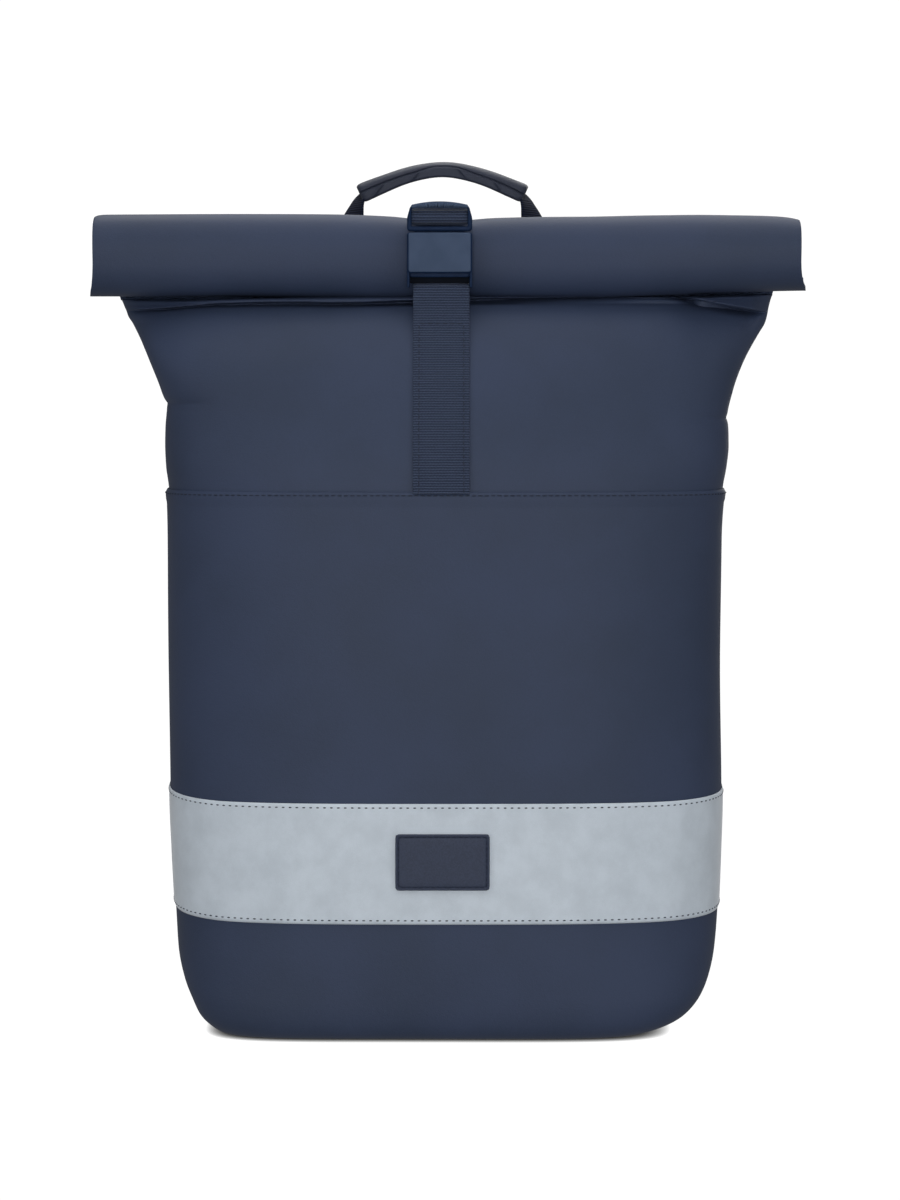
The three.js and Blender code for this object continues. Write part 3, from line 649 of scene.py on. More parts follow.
class Wire:
    """A node socket that takes part in Python expressions: each operation adds a Math node."""

    def __init__(self, shader, socket):
        self.shader = shader
        self.socket = socket

    def math(self, operation, *values):
        """Result of a Math node fed by the values."""
        return self.shader.node("ShaderNodeMath", {"operation": operation}, dict(enumerate(values)))

    def __add__(self, other):
        return self.math("ADD", self, other)

    __radd__ = __add__

    def __mul__(self, other):
        return self.math("MULTIPLY", self, other)

    __rmul__ = __mul__

    def __rsub__(self, other):
        return self.math("SUBTRACT", other, self)

    def sine(self):
        """Sine of the value."""
        return self.math("SINE", self)

    def clamp(self, low, high):
        """0 at low and 1 at high, with a smooth step between."""
        settings = {"interpolation_type": "SMOOTHSTEP"}
        values = {"Value": self, "From Min": low, "From Max": high}
        return self.shader.node("ShaderNodeMapRange", settings, values)


class Nodes:
    """A node tree filled by expressions."""

    def __init__(self, tree):
        self.tree = tree

    def node(self, kind, settings, inputs, output=0):
        """One output of a new node, with its settings made and its inputs fed."""
        made = self.tree.nodes.new(kind)
        for key, value in settings.items():
            setattr(made, key, value)
        for key, value in inputs.items():
            self.plug(made.inputs[key], value)
        return Wire(self, made.outputs[output])

    def plug(self, socket, value):
        """Feeds a socket by a wire or by a constant."""
        if isinstance(value, Wire):
            self.tree.links.new(value.socket, socket)
        else:
            socket.default_value = value


class Shader(Nodes):
    """A node material with one Principled shader."""

    def __init__(self, name, **constants):
        self.material = bpy.data.materials.new(name)
        self.material.use_nodes = True
        super().__init__(self.material.node_tree)
        self.principled = self.tree.nodes["Principled BSDF"]
        for key, value in constants.items():
            socket = key.replace("_", " ").title().replace("Ior", "IOR")
            self.principled.inputs[socket].default_value = value

    def set(self, socket, value):
        """Feeds one input of the Principled shader."""
        self.plug(self.principled.inputs[socket], value)

    def place(self):
        """Place on the piece, in metres."""
        return self.node("ShaderNodeTexCoord", {}, {}, "Object")

    def surface_way(self, axis):
        """One way over the piece's own surface map: X across it and Y along it, in metres."""
        uv = self.node("ShaderNodeUVMap", {"uv_map": "surface"}, {})
        return self.node("ShaderNodeSeparateXYZ", {}, {0: uv}, axis)

    def noise(self, scale, detail, roughness=0.5):
        """Noise from 0 to 1, with so many features to the metre."""
        values = {"Vector": self.place(), "Scale": scale, "Detail": detail, "Roughness": roughness}
        return self.node("ShaderNodeTexNoise", {}, values)

    def colour(self, share, low, high, dark, light):
        """Base colour that goes from dark to light as the share goes from low to high."""
        values = {0: share.clamp(low, high), 6: linear(*dark), 7: linear(*light)}
        self.set("Base Color", self.node("ShaderNodeMix", {"data_type": "RGBA"}, values, 2))

    def bump(self, height, distance, strength):
        """Relief of the surface, with its height in metres."""
        values = {"Height": height, "Distance": distance, "Strength": strength}
        self.set("Normal", self.node("ShaderNodeBump", {}, values))


def linear(red, green, blue):
    """Linear colour of an sRGB one given from 0 to 255."""
    values = np.array([red, green, blue]) / 255
    return (*np.where(values <= 0.04045, values / 12.92, ((values + 0.055) / 1.055) ** 2.4), 1.0)


def coated_cloth(name, dark, light):
    """Smooth coated cloth: a fine leathery grain and slow shade changes."""
    coat = Shader(name, specular_ior_level=0.3)
    grain = coat.noise(1500, 2)
    slow = coat.noise(14, 3)
    coat.colour(slow * 0.7 + grain * 0.3, 0.3, 0.7, dark, light)
    coat.set("Roughness", 0.52 + slow * 0.12 + grain * 0.06)
    coat.bump(grain + coat.noise(420, 2) * 0.8, 0.00012, 0.6)
    return coat.material


def reflective_cloth():
    """Silver-grey reflective cloth: a fine glass-bead sparkle and a cloudy mottle."""
    band = Shader("reflective_cloth", specular_ior_level=0.5, sheen_weight=0.3, sheen_roughness=0.4)
    beads = band.noise(2600, 1)
    cloud = band.noise(60, 4, 0.6)
    band.colour(cloud * 0.75 + beads * 0.25, 0.3, 0.7, (184, 194, 204), (198, 208, 218))
    band.set("Roughness", 0.42 + cloud * 0.16)
    band.bump(beads + cloud * 0.4, 0.00008, 0.5)
    return band.material


def webbing_cloth(name, dark, light, gloss):
    """Woven webbing: ribs across its length and a zigzag of yarns, from the strap's own surface map."""
    web = Shader(name, specular_ior_level=gloss, sheen_weight=gloss * 0.6, sheen_roughness=0.4)
    across = web.surface_way("X")
    along = web.surface_way("Y")
    ribs = (along * (2 * math.pi / (WEB.rib * MM))).sine() * 0.5 + 0.5
    zigzag = (along * (math.pi / (WEB.rib * MM))).sine() * 2
    yarns = (across * (2 * math.pi / (WEB.yarn * MM)) + zigzag).sine() * 0.5 + 0.5
    fuzz = web.noise(900, 3)
    weave = ribs * 0.78 + yarns * 0.22
    web.colour(weave * 0.7 + fuzz * 0.3, 0.15, 0.85, dark, light)
    web.set("Roughness", 0.7 + fuzz * 0.2)
    web.bump(weave + fuzz * 0.3, 0.00025, 0.8)
    return web.material


def moulded_plastic(name, dark, light, rough, spark_height):
    """Moulded plastic: a fine sparked texture and slow colour drift."""
    plastic = Shader(name, specular_ior_level=0.1)
    spark = plastic.noise(1800, 2)
    drift = plastic.noise(90, 2)
    plastic.colour(drift, 0.3, 0.7, dark, light)
    plastic.set("Roughness", rough + spark * 0.14)
    plastic.bump(spark, spark_height, 0.5)
    return plastic.material


def label_rubber():
    """Matte moulded patch with a fine pebble."""
    label = Shader("label", specular_ior_level=0.4)
    pebble = label.noise(1400, 2)
    label.colour(pebble, 0.3, 0.7, (36, 45, 66), (47, 56, 78))
    label.set("Roughness", 0.55 + pebble * 0.15)
    label.bump(pebble, 0.0001, 0.6)
    return label.material


def padded_cloth():
    """Matte padding cloth with a small woven check."""
    pad = Shader("padded_cloth", specular_ior_level=0.25, sheen_weight=0.2, sheen_roughness=0.5)
    where = pad.place()
    xyz = [pad.node("ShaderNodeSeparateXYZ", {}, {0: where}, axis) for axis in ("X", "Z")]
    check = [(way * (2 * math.pi / (PAD_CHECK * MM))).sine() for way in xyz]
    weave = check[0] * check[1] * 0.5 + 0.5
    slow = pad.noise(22, 3)
    pad.colour(weave * 0.5 + slow * 0.5, 0.2, 0.8, (36, 42, 56), (52, 59, 75))
    pad.set("Roughness", 0.75 + slow * 0.15)
    pad.bump(weave, 0.0002, 0.5)
    return pad.material


def thread(name, dark, light):
    """Twisted sewing thread."""
    yarn = Shader(name, specular_ior_level=0.3)
    ply = yarn.noise(1800, 2)
    yarn.colour(ply, 0.3, 0.7, dark, light)
    yarn.set("Roughness", 0.7 + ply * 0.1)
    return yarn.material


MATERIALS = {
    "coated_cloth": coated_cloth("coated_cloth", (42, 53, 75), (50, 61, 86)),
    "grip_cloth": coated_cloth("grip_cloth", (42, 47, 62), (48, 53, 69)),
    "reflective_cloth": reflective_cloth(),
    "webbing": webbing_cloth("webbing", (27, 36, 56), (60, 71, 94), 0.25),
    # Webbing darker than the straps': painted shade for the handle's webs, which lie in shade behind
    # and below the grip
    "handle_webbing_painted_shade": webbing_cloth("handle_webbing_painted_shade", (14, 18, 32), (34, 40, 60), 0.05),
    "moulded_plastic": moulded_plastic("moulded_plastic", (16, 33, 60), (21, 39, 67), 0.5, 0.00003),
    # Near-black plastic for the bar in the buckle's slot: painted shade, standing for the shadow deep
    # in the slot
    "painted_slot_shade": moulded_plastic("painted_slot_shade", (2, 6, 16), (4, 9, 20), 0.7, 0.00003),
    "textured_plastic": moulded_plastic("textured_plastic", (60, 74, 97), (66, 80, 104), 0.55, 0.00008),
    "label": label_rubber(),
    "padded_cloth": padded_cloth(),
    "navy_thread": thread("navy_thread", (26, 32, 48), (40, 48, 66)),
    "dark_thread": thread("dark_thread", (52, 58, 70), (74, 80, 92)),
}


def dress(obj, finish, *nodes, slot=None):
    """Gives a piece its finish, lets it ride on the one body and stand for its nodes."""
    obj.data.materials.append(MATERIALS[finish])
    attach(obj, "root")
    if nodes:
        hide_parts(*nodes)
    return obj


# Bag, panel, band and label

def body_shell():
    """One closed skin of rings, each a section of the bag.

    It starts in the middle of the underside, goes up the outside of the hanging cloth and over
    the mouth's rim, comes down a wall's thickness further in, and ends in the middle of the inner
    floor. Inside, it steps back behind the tuck.
    """
    share = np.linspace(-0.5, 0.5, SHELL_COLUMNS, endpoint=False)
    places = np.concatenate([walked_places(*stretch)[:-1] for stretch in SHELL_ROWS])
    plain = bag(places, share)
    hanging = cloth(places, share, wrap=True)[0]
    outer = plain + (hanging - plain) * step_up(0, BASE.ease, plain[..., 2:])
    mouth = SECTIONS[-1, 0]
    inner_plain = bag(walked_places(0, mouth, INNER_ROWS), share)
    y, z = inner_plain[..., 1], inner_plain[..., 2]
    inner = inner_plain - WALL * normals(inner_plain, True)
    inner[..., 1] += TUCK_ROOM.depth * hump(TUCK_ROOM, z) * step_up(*FRONT_HALF, y)
    on_floor = np.maximum(inner[..., 2], BASE.thick)
    inner[..., 2] = np.where(z < 2 * BASE.thick, on_floor, inner[..., 2])
    inner[-1, :, 2] = mouth
    shrink = np.array(BASE.rings)[:, None, None]
    under = outer[:1] * shrink
    floor = inner[:1] * shrink
    floor[..., 2] = inner[:1, :, 2]
    return tube("body_shell_cloth", np.concatenate([under, outer, inner[::-1], floor[::-1]]))


def front_panel():
    """Sheet on the cloth between two lifts: a thicker hem, a round top edge, a foot that thins out."""
    bottom, top, low = PANEL.bottom, PANEL.top, PANEL.low
    share = np.linspace(-PANEL.share, PANEL.share, PANEL.columns)
    points, out = cloth(walked_places(bottom, top, PANEL.rows), share)
    z = points[..., 2:]
    hem = PANEL_EDGE.hem_thick * step_up(-1, 1, z - top + PANEL_EDGE.hem)
    rise = edge_round(top - z, PANEL_EDGE.round) * edge_round(z - bottom, PANEL_EDGE.foot)
    high = low + (PANEL.high - low + hem) * rim(rise, PANEL_EDGE.thin)
    return sheet("front_panel_cloth", points + out * high, points + out * low)


def band_rise(share):
    """Extra height of the band's ends, eased in round the bag's corners."""
    return by_side(share, BAND_RISE) * step_up(*BAND_RISE.ease, np.abs(share))


def slid_cloth(bottom, top, rows, share, rise):
    """Cloth points and normals between two heights, each column slid up the cloth by its own rise."""
    points, out = cloth(walked_places(bottom, top + rise.max(), rows), share)
    level = np.linspace(bottom, top, rows)
    columns = np.moveaxis(np.concatenate([points, out], -1), 1, 0)
    slid = [
        [np.interp(level + lift, column[:, 2], values) for values in column.T]
        for column, lift in zip(columns, rise)
    ]
    slid = np.moveaxis(np.array(slid), 2, 0)
    return slid[..., :3], slid[..., 3:], level


def reflective_band():
    """Sheet on the cloth between two lifts, thinner at its upper and lower edges."""
    bottom, top, low = BAND.bottom, BAND.top, BAND.low
    share = np.linspace(-BAND.share, BAND.share, BAND.columns)
    points, out, level = slid_cloth(bottom, top, BAND.rows, share, band_rise(share))
    rise = edge_round(np.minimum(top - level, level - bottom), BAND_EDGE.round)
    high = low + (BAND.high - low) * rim(rise, BAND_EDGE.thin)
    return sheet("reflective_band_cloth", points + out * high[:, None, None], points + out * low)


def seam_line(z, lift, rise):
    """A line round the bag at a height and its rise, lifted off the cloth, with its outward ways.

    It is the middle one of a few close rows, which give it its normals.
    """
    share = np.linspace(-SEAM.share, SEAM.share, SEAM.columns)
    points, out, level = slid_cloth(z - 0.5, z + 0.5, 9, share, rise(share))
    middle = len(level) // 2
    return points[middle] + out[middle] * lift, out[middle]


def rounded_outline(width, height, corner, count=96):
    """Closed outline of a rectangle with round corners.

    Quarter circles are joined by straight sides, and the whole is walked evenly.
    """
    quarter = np.linspace(0, np.pi / 2, 13)
    arcs = []
    for k, (sx, sz) in enumerate(((1, 1), (-1, 1), (-1, -1), (1, -1))):
        centre = np.array([sx * (width / 2 - corner), sz * (height / 2 - corner)])
        turn = quarter + k * np.pi / 2
        arcs.append(centre + corner * np.stack([np.cos(turn), np.sin(turn)], -1))
    loop = np.concatenate([*arcs, arcs[0][:1]])
    walked = walk(loop)
    place = np.linspace(0, walked[-1], count, endpoint=False)
    return np.stack([np.interp(place, walked, loop[:, k]) for k in range(2)], -1)


def inset(outline, distance):
    """Outline drawn in towards its middle, so that its sides move by the distance."""
    half = np.abs(outline).max(0)
    return outline * (1 - distance / half)


def plate(name, outline, profile, x, y, z):
    """Upright plate: the outline repeated at each (inset, depth) of an edge profile."""
    rings = [
        np.insert(inset(outline, distance) + (x, z), 1, y + depth, axis=1)
        for distance, depth in profile
    ]
    return tube(name, np.stack(rings))


def label_patch():
    """Flat plate with round corners, and a groove near its edge in which its stitches lie."""
    outline = rounded_outline(LABEL.width, LABEL.height, LABEL.corner)
    sewn = inset(outline, LABEL_SEAM.inset) + (LABEL.x, LABEL.z)
    sewn = np.concatenate([sewn, sewn[:1]])
    row = np.insert(sewn, 1, LABEL.y + LABEL_SEAM.depth, axis=1)
    dress(stitches("label_stitches", row, (0, -1, 0), LABEL_STITCH), "navy_thread")
    return plate("label_patch_face", outline, LABEL_EDGE, LABEL.x, LABEL.y, LABEL.z)


# Roll

def roll_grid(inside):
    """Spiral of the rolled top, on its outside (0) or its inside (1).

    Its reach in depth and height goes by turns, round a superellipse. The strap pinches it, slow
    waves run over it, its upper and lower edges rise and fall along the bag, its right end tapers,
    its corners are rounded off, and its ends flare below.
    """
    turns = np.linspace(ROLL_TURNS[0, 0], ROLL_TURNS[-1, 0], ROLL.rows)
    row = table_rows(ROLL_COLUMNS, ROLL_TURNS, ROLL_TURNS[:, 0], turns)
    spread = np.linspace(-1, 1, ROLL.columns)[None]
    station = np.sin(spread * ROLL.crowd) / np.sin(ROLL.crowd)
    x = station * ROLL.reach
    angle = 2 * np.pi * row.turns
    cos, sin = np.cos(angle), np.sin(angle)
    upper, lower = np.maximum(sin, 0), np.maximum(-sin, 0)
    started = np.clip((row.turns - ROLL_TURNS[0, 0]) / ROLL_START, 0, 1)
    above = step_up(*ROLL_SQUARE.change, sin)
    square = ROLL_SQUARE.below + (ROLL_SQUARE.above - ROLL_SQUARE.below) * above
    power = 2 + (square - 2) * step_up(*ROLL_SQUARE.start, row.turns)
    aside = x - WEB.x
    pinch = np.exp(-((aside / ROLL_PINCH.width) ** 2))
    pinch = pinch + ROLL_PINCH.flat * np.exp(-((aside / ROLL_PINCH.flat_width) ** 4))
    wave = 0.006 * np.sin(x / 31 + 3 * angle) + 0.005 * np.sin(x / 57 - 2 * angle + 1)
    size = superellipse(cos, sin, power) * (1 - (ROLL_PINCH.deep * pinch - wave) * started)
    depth = (row.depth - inside * row.wall_depth) * size
    height = (row.height - inside * row.wall_height) * size
    taper = np.where(sin < 0, ROLL_TAPER.below, ROLL_TAPER.above)
    taper = taper * step_up(ROLL_TAPER.start, ROLL.reach, x)
    corner = np.exp((np.abs(x) - ROLL.reach) / by_side(x, ROLL_CORNER_FADE))
    shrink = taper + by_side(x, ROLL_CORNER) * corner * upper
    edge = station * ROLL_EDGE
    rise = table_at(ROLL_TOP, edge) * upper + table_at(ROLL_FOOT, edge) * lower
    up = sin * height * (1 - shrink * started) + rise * started
    hollow = ROLL_HOLLOW.depth * (1 - (up / ROLL_HOLLOW.height) ** 2)
    reach = ROLL.reach + by_side(x, ROLL_FLARE) * lower**3 - hollow
    inward = np.clip(row.turns - ROLL_INWARD.start, 0, ROLL_INWARD.turns)
    reach = reach * (1 - ROLL_INWARD.share * inward)
    return np.stack([ROLL.x + station * reach, ROLL.y + cos * depth, ROLL.z + up], -1)


# Straps

def strap_edge(form):
    """Places across a strap from -1 to 1, closer near its edges, and its share of thickness there."""
    across = np.sin(np.linspace(-np.pi / 2, np.pi / 2, form.columns))
    rise = np.sqrt(np.maximum(1 - np.abs(across) ** form.power, 0))
    return across, rim(rise, form.thin)


def strap_out(path):
    """Outward ways of a strap that lies across X: its own way turned by a quarter about X."""
    way = np.gradient(path, axis=0)
    return unit(np.stack([np.zeros(len(path)), -way[:, 2], way[:, 1]], -1))


def strap_map(edge, width, walked):
    """Surface map of a strap, in metres: across it and along it."""
    return np.stack(np.broadcast_arrays(edge[None] * width / 2, walked[:, None]), -1) * MM


def ribbon(name, path, width, rib=0.0):
    """Flat strap along a path: its width lies along X, its edges are round, and ribs cross it."""
    walked = walk(path)
    edge, thickness = strap_edge(WEB_EDGE)
    wave = rib * np.sin(2 * np.pi * walked / WEB.rib)[:, None]
    lift = (WEB.thick / 2 * thickness[None] + wave)[..., None] * strap_out(path)[:, None]
    middle = path[:, None] + np.array([1, 0, 0]) * (edge * width / 2)[None, :, None]
    return sheet(name, middle + lift, middle - lift, strap_map(edge, width, walked))


def side_path(points, x, count):
    """Evenly walked smooth line through points (y, z) seen from the side, at one x."""
    line = curve([(0, *point) for point in points], count)[0]
    line[:, 0] = x
    return line


def lower_strap_path(count):
    """Middle line of the lower strap: up the front of the bag, then back into the buckle."""
    fronts = bag_rows(place_at(np.array(LOWER_STRAP_Z))).front[:, 0]
    lift = GAP + LOWER_STRAP_LIFT + WEB.thick / 2
    sewn = [(front - lift, z) for front, z in zip(fronts, LOWER_STRAP_Z)]
    return side_path(sewn + LOWER_STRAP_END, WEB.x, count)


def closing_straps():
    """Two ribbons: one up the front to the buckle, one from there over the roll to the back."""
    upper_path = side_path(UPPER_STRAP, BUCKLE.x, UPPER_STRAP_ROWS)
    for name, path, width in (
        ("lower", lower_strap_path(LOWER_STRAP_ROWS), WEB.width),
        ("upper", upper_path, UPPER_STRAP_WIDTH),
    ):
        strap = ribbon(f"closing_strap_{name}_web", path, width, WEB.rib_height)
        dress(strap, "webbing", f"closing_strap_{name}")


def strap_box_stitches():
    """Two long rows near the strap's edges and one across its top."""
    path = lower_strap_path(COUNT.sewn)
    sewn = path[path[:, 2] < STRAP_SEAM.top] - (0, WEB.thick / 2 + STRAP_SEAM.lift, 0)
    half = STRAP_SEAM.half
    rows = {
        "left": sewn - (half, 0, 0),
        "right": sewn + (half, 0, 0),
        "top": sewn[-1] + np.linspace(-half, half, COUNT.sewn_top)[:, None] * (1, 0, 0),
    }
    for name, row in rows.items():
        sewing = stitches(f"strap_stitches_{name}", row, STRAP_SEAM.out, STRAP_STITCH)
        dress(sewing, "navy_thread")


# Buckle

def bar(name, block, x, y):
    """Bar with rounded edges: a rounded outline in XZ, carried from its back to its front."""
    radius = block.round
    middle, height = extent(block)
    corner = min(1.5 * radius, block.half - 0.05)
    outline = rounded_outline(2 * block.half, height, corner, OUTLINE.bar)
    edge = BAR_EDGE * radius
    thick = block.back - block.front
    profile = [*((distance, thick - depth) for distance, depth in edge), *edge[::-1]]
    return plate(name, outline, profile, x, y + block.front, middle)


def buckle_catch():
    """Lower part of the buckle: a plate with a raised face, a sill, a near-black bar in the slot below
    that is painted shade, two rails.
    """
    x, y = BUCKLE.x, BUCKLE.y
    middle, height = extent(CATCH)
    outline = rounded_outline(CATCH.width, height, CATCH.corner, OUTLINE.buckle)
    cover = plate("buckle_catch_cover", outline, COVER_EDGE, x, y, middle)
    dress(cover, "moulded_plastic", "buckle_catch")
    outline = rounded_outline(FACE.width, FACE.height, FACE.corner, OUTLINE.buckle)
    face = plate("buckle_catch_face", outline, FACE_EDGE, x, y, middle + FACE.up)
    dress(face, "textured_plastic", slot="moulded_plastic")
    dress(bar("buckle_catch_sill", SILL, x, y), "moulded_plastic")
    # The bar in the slot is near-black: painted shade
    dress(bar("buckle_catch_slot", SLOT, x, y), "painted_slot_shade", slot="moulded_plastic")
    aside = CATCH.width / 2 - RAIL.half
    for name, rail_x in (("left", x - aside), ("right", x + aside)):
        dress(bar(f"buckle_catch_rail_{name}", RAIL, rail_x, y), "moulded_plastic")


def hoop_between(name, outer, inner, back, front, round_edge):
    """Flat frame: a rectangle with round edges, carried round between two outlines."""
    share = np.array([0, 0.12, 0.3, 0.7, 0.88, 1, 1, 0.88, 0.7, 0.3, 0.12, 0])
    depth = np.array([round_edge, 0.3 * round_edge, 0, 0, 0.3 * round_edge, round_edge])
    y = np.concatenate([front + depth, back - depth])
    flat = inner[:, None] + (outer - inner)[:, None] * share[None, :, None]
    rings = np.stack([flat[..., 0], np.broadcast_to(y, flat.shape[:2]), flat[..., 1]], -1)
    return add_piece(name, rings, grid_faces(*rings.shape[:2], True, True))


def hook_arch(x):
    """Rise of the hook's upper edge: a parabola, highest at its middle."""
    return HOOK_ARCH.rise * (1 - (x / HOOK.half) ** 2)


def buckle_hook():
    """Upper part of the buckle: an arched frame round a window, a raised crown, a bar, a tongue."""
    x, y = BUCKLE.x, BUCKLE.y
    front = y + HOOK.behind
    middle, height = extent(HOOK)
    outer = rounded_outline(2 * HOOK.half, height, HOOK.corner, OUTLINE.hook)
    rise = outer[:, 1] / height + 0.5
    outer[:, 1] += hook_arch(outer[:, 0]) * step_up(HOOK_ARCH.rise_from, 1, rise)
    outer[:, 0] *= 1 - HOOK_ARCH.taper * step_up(HOOK_ARCH.taper_from, 1, rise)
    outer += (x, middle)
    middle, height = extent(WINDOW)
    inner = rounded_outline(2 * WINDOW.half, height, WINDOW.corner, OUTLINE.hook)
    inner += (x, middle)
    back = front + HOOK.thick
    ring = hoop_between("buckle_hook_frame", outer, inner, back, front, HOOK.round)
    dress(ring, "moulded_plastic", "buckle_hook")
    outline = rounded_outline(CROWN.width, CROWN.height, CROWN.corner, OUTLINE.hook)
    rise = outline[:, 1] / CROWN.height + 0.5
    outline[:, 1] += hook_arch(outline[:, 0]) * step_up(0, 1, rise)
    proud = front - CROWN.proud
    crown = plate("buckle_hook_crown", outline, CROWN_EDGE, x, proud, CROWN.middle)
    dress(crown, "textured_plastic", slot="moulded_plastic")
    for name, block in (("bar", BAR), ("tongue", TONGUE)):
        dress(bar(f"buckle_hook_{name}", block, x, y), "moulded_plastic")


# Handle

def handle_grip():
    """Sleeve round the handle: a flat rounded section carried along a hyperbola's arch.

    A fold runs along its front, high at the middle and lower towards the ends, with slanting
    creases below it. The ends are drawn in and go some way inside.
    """
    rows, columns = GRID.grip
    share = np.linspace(-1, 1, rows)[:, None]
    turn = np.linspace(0, 2 * np.pi, columns, endpoint=False)[None]
    x = share * HANDLE.half
    arch = np.sqrt(1 + (x / HANDLE.spread) ** 2)
    slope = HANDLE.rise / HANDLE.spread ** 2 * x / arch
    up = unit(np.concatenate([slope, np.zeros_like(slope), np.ones_like(slope)], 1))
    y = np.full_like(x, HANDLE.y)
    z = HANDLE.apex - HANDLE.rise * (arch - 1)
    middle = np.concatenate([HANDLE.x + x, y, z], 1)
    cos, sin = np.cos(turn), np.sin(turn)
    radius = superellipse(cos, sin, np.where(sin < 0, GRIP.below, GRIP.above))
    lower = step_up(*GRIP_FOLD.ease, np.abs(share - GRIP_FOLD.middle))
    right = np.maximum(share, 0) ** 3
    fold = GRIP_FOLD.turn + GRIP_FOLD.drop * lower + GRIP_FOLD.right * right
    beside = turn - np.pi * fold
    fade = np.where(beside < 0, GRIP_VALLEY.above, GRIP_VALLEY.below)
    valley = GRIP_VALLEY.deep * np.exp(-np.abs(beside) / fade)
    crease = GRIP_CREASE.ripple * np.sin(x / 5.3 + 2.5 * cos) * np.sin(x / 11.7 + 1.3)
    below = step_up(*GRIP_CREASE.start, beside) * step_up(*GRIP_CREASE.end, beside)
    for place, lean in GRIP_CREASES:
        slant = np.exp(-np.abs(share - place - lean * beside) / GRIP_CREASE.width)
        crease = crease + GRIP_CREASE.height * slant * below
    from_end = (1 - np.abs(share)) * HANDLE.half
    swell = radius * (1 + crease - valley - GRIP_END.draw * np.exp(-from_end / GRIP_END.fade))
    thick = GRIP.thin + (GRIP.thick - GRIP.thin) * share**2
    across = swell * cos * GRIP.depth / 2
    out = swell * sin * thick / 2 + GRIP.tip * across
    rings = middle[:, None] + across[..., None] * np.array([0, 1, 0]) + out[..., None] * up[:, None]
    core = middle[:, None] + GRIP_END.core * (rings - middle[:, None])
    lip = core + GRIP_END.lip * (rings - core)
    way = GRIP_END.deep * unit(np.gradient(middle, axis=0))
    closed = [core[:1] + way[0], lip[:1], rings, lip[-1:], core[-1:] - way[-1]]
    return tube("handle_grip_sleeve", np.concatenate(closed))


def handle_web(name, side):
    """Webbing that turns from flat on the back to edgewise in the sleeve.

    Its rows give its middle line and its turn about the upright, in degrees.
    """
    rows, length = curve(HANDLE_WEB, COUNT.handle_web)
    turn = np.radians(rows[:, 3]) * side
    cos, sin, level = np.cos(turn), np.sin(turn), np.zeros_like(turn)
    across = np.stack([cos, sin, level], -1)[:, None]
    out = np.stack([-sin, cos, level], -1)[:, None]
    middle = rows[:, None, :3] * (side, 1, 1) + (HANDLE.x, 0, 0)
    edge, thickness = strap_edge(WEB_EDGE)
    flat = middle + across * edge[:, None] * STRAP_WEB / 2
    lift = out * thickness[:, None] * WEB.thick / 2
    uv = strap_map(edge, STRAP_WEB, np.linspace(0, length, len(rows)))
    return sheet(f"handle_web_{name}_strap", flat + lift, flat - lift, uv)


# Back

def back_pad():
    """Foam panel: a thin sewn edge that swells to a crown, parted by two upright channels."""
    rows, columns = GRID.pad
    a = np.linspace(-1, 1, columns)[None]
    b = np.linspace(-1, 1, rows)[:, None]
    middle, height = extent(PAD)
    half = height / 2
    points, out = cloth(place_at(middle + half * b[:, 0]), 0.5 + PAD.share * a[0])
    from_end = (1 - np.abs(b)) * half
    edge = np.minimum((1 - np.abs(a)) * PAD.half, from_end)
    channel = np.exp(-(((np.abs(a) - PAD_CHANNEL.place) / PAD_CHANNEL.width) ** 2))
    channel = PAD_CHANNEL.deep * channel * step_up(*PAD_CHANNEL.ends, from_end)
    swell = step_up(*PAD.swell, edge) * (1 - channel)
    lift = PAD.edge + (PAD.crown - PAD.edge) * swell
    lift = lift * rim(edge_round(edge, PAD_EDGE.round), PAD_EDGE.thin)
    return sheet("back_pad_cushion", points + out * (GAP + lift)[..., None], points + out * GAP)


def shoulder_strap(name, side):
    """Padded strap along rows of place, width and thickness: a thin bound edge, then a crown."""
    rows = curve(SHOULDER_STRAP, COUNT.shoulder)[0]
    middle = rows[:, :3] * (side, 1, 1)
    edge, thickness = strap_edge(STRAP_EDGE)
    crown = 1 - step_up(*STRAP_EDGE.crown, np.abs(edge))
    thickness = thickness * rim(crown, STRAP_EDGE.rim)
    flat = middle[:, None] + np.array([1, 0, 0]) * (edge[None] * rows[:, 3:4] / 2)[..., None]
    lift = (thickness[None] * rows[:, 4:5] / 2)[..., None] * strap_out(middle)[:, None]
    return sheet(f"shoulder_strap_{name}_pad", flat + lift, flat - lift)


def lower_webbing(name, side):
    """Ribbon from the adjuster down to the tab."""
    path = curve(LOWER_WEBBING * (side, 1, 1), COUNT.webbing)[0]
    return ribbon(f"strap_webbing_{name}_web", path, STRAP_WEB)


def adjuster(name, side):
    """Moulded frame with a bar across its middle, tilted to lie on the strap."""
    outer = rounded_outline(ADJUSTER.width, ADJUSTER.height, ADJUSTER.corner, OUTLINE.adjuster)
    window = ADJUSTER_WINDOW
    inner = rounded_outline(window.width, window.height, window.corner, OUTLINE.adjuster)
    piece = f"strap_adjuster_{name}"
    ring = hoop_between(f"{piece}_frame", outer, inner, ADJUSTER.thick, 0, ADJUSTER.round)
    cross = bar(f"{piece}_bar", ADJUSTER_BAR, 0, 0)
    tilt = math.atan(ADJUSTER_PLACE.slope)
    cos, sin = math.cos(tilt), math.sin(tilt)
    turn = np.array([[1, 0, 0], [0, cos, sin], [0, -sin, cos]])
    shift = np.array([side * ADJUSTER_PLACE.x, ADJUSTER_PLACE.y, ADJUSTER_PLACE.z])
    for obj in (ring, cross):
        points = np.empty(len(obj.data.vertices) * 3, np.float32)
        obj.data.vertices.foreach_get("co", points)
        moved = points.reshape(-1, 3) @ turn.T + shift * MM
        obj.data.vertices.foreach_set("co", moved.astype(np.float32).ravel())
    dress(ring, "moulded_plastic", piece)
    dress(cross, "moulded_plastic")


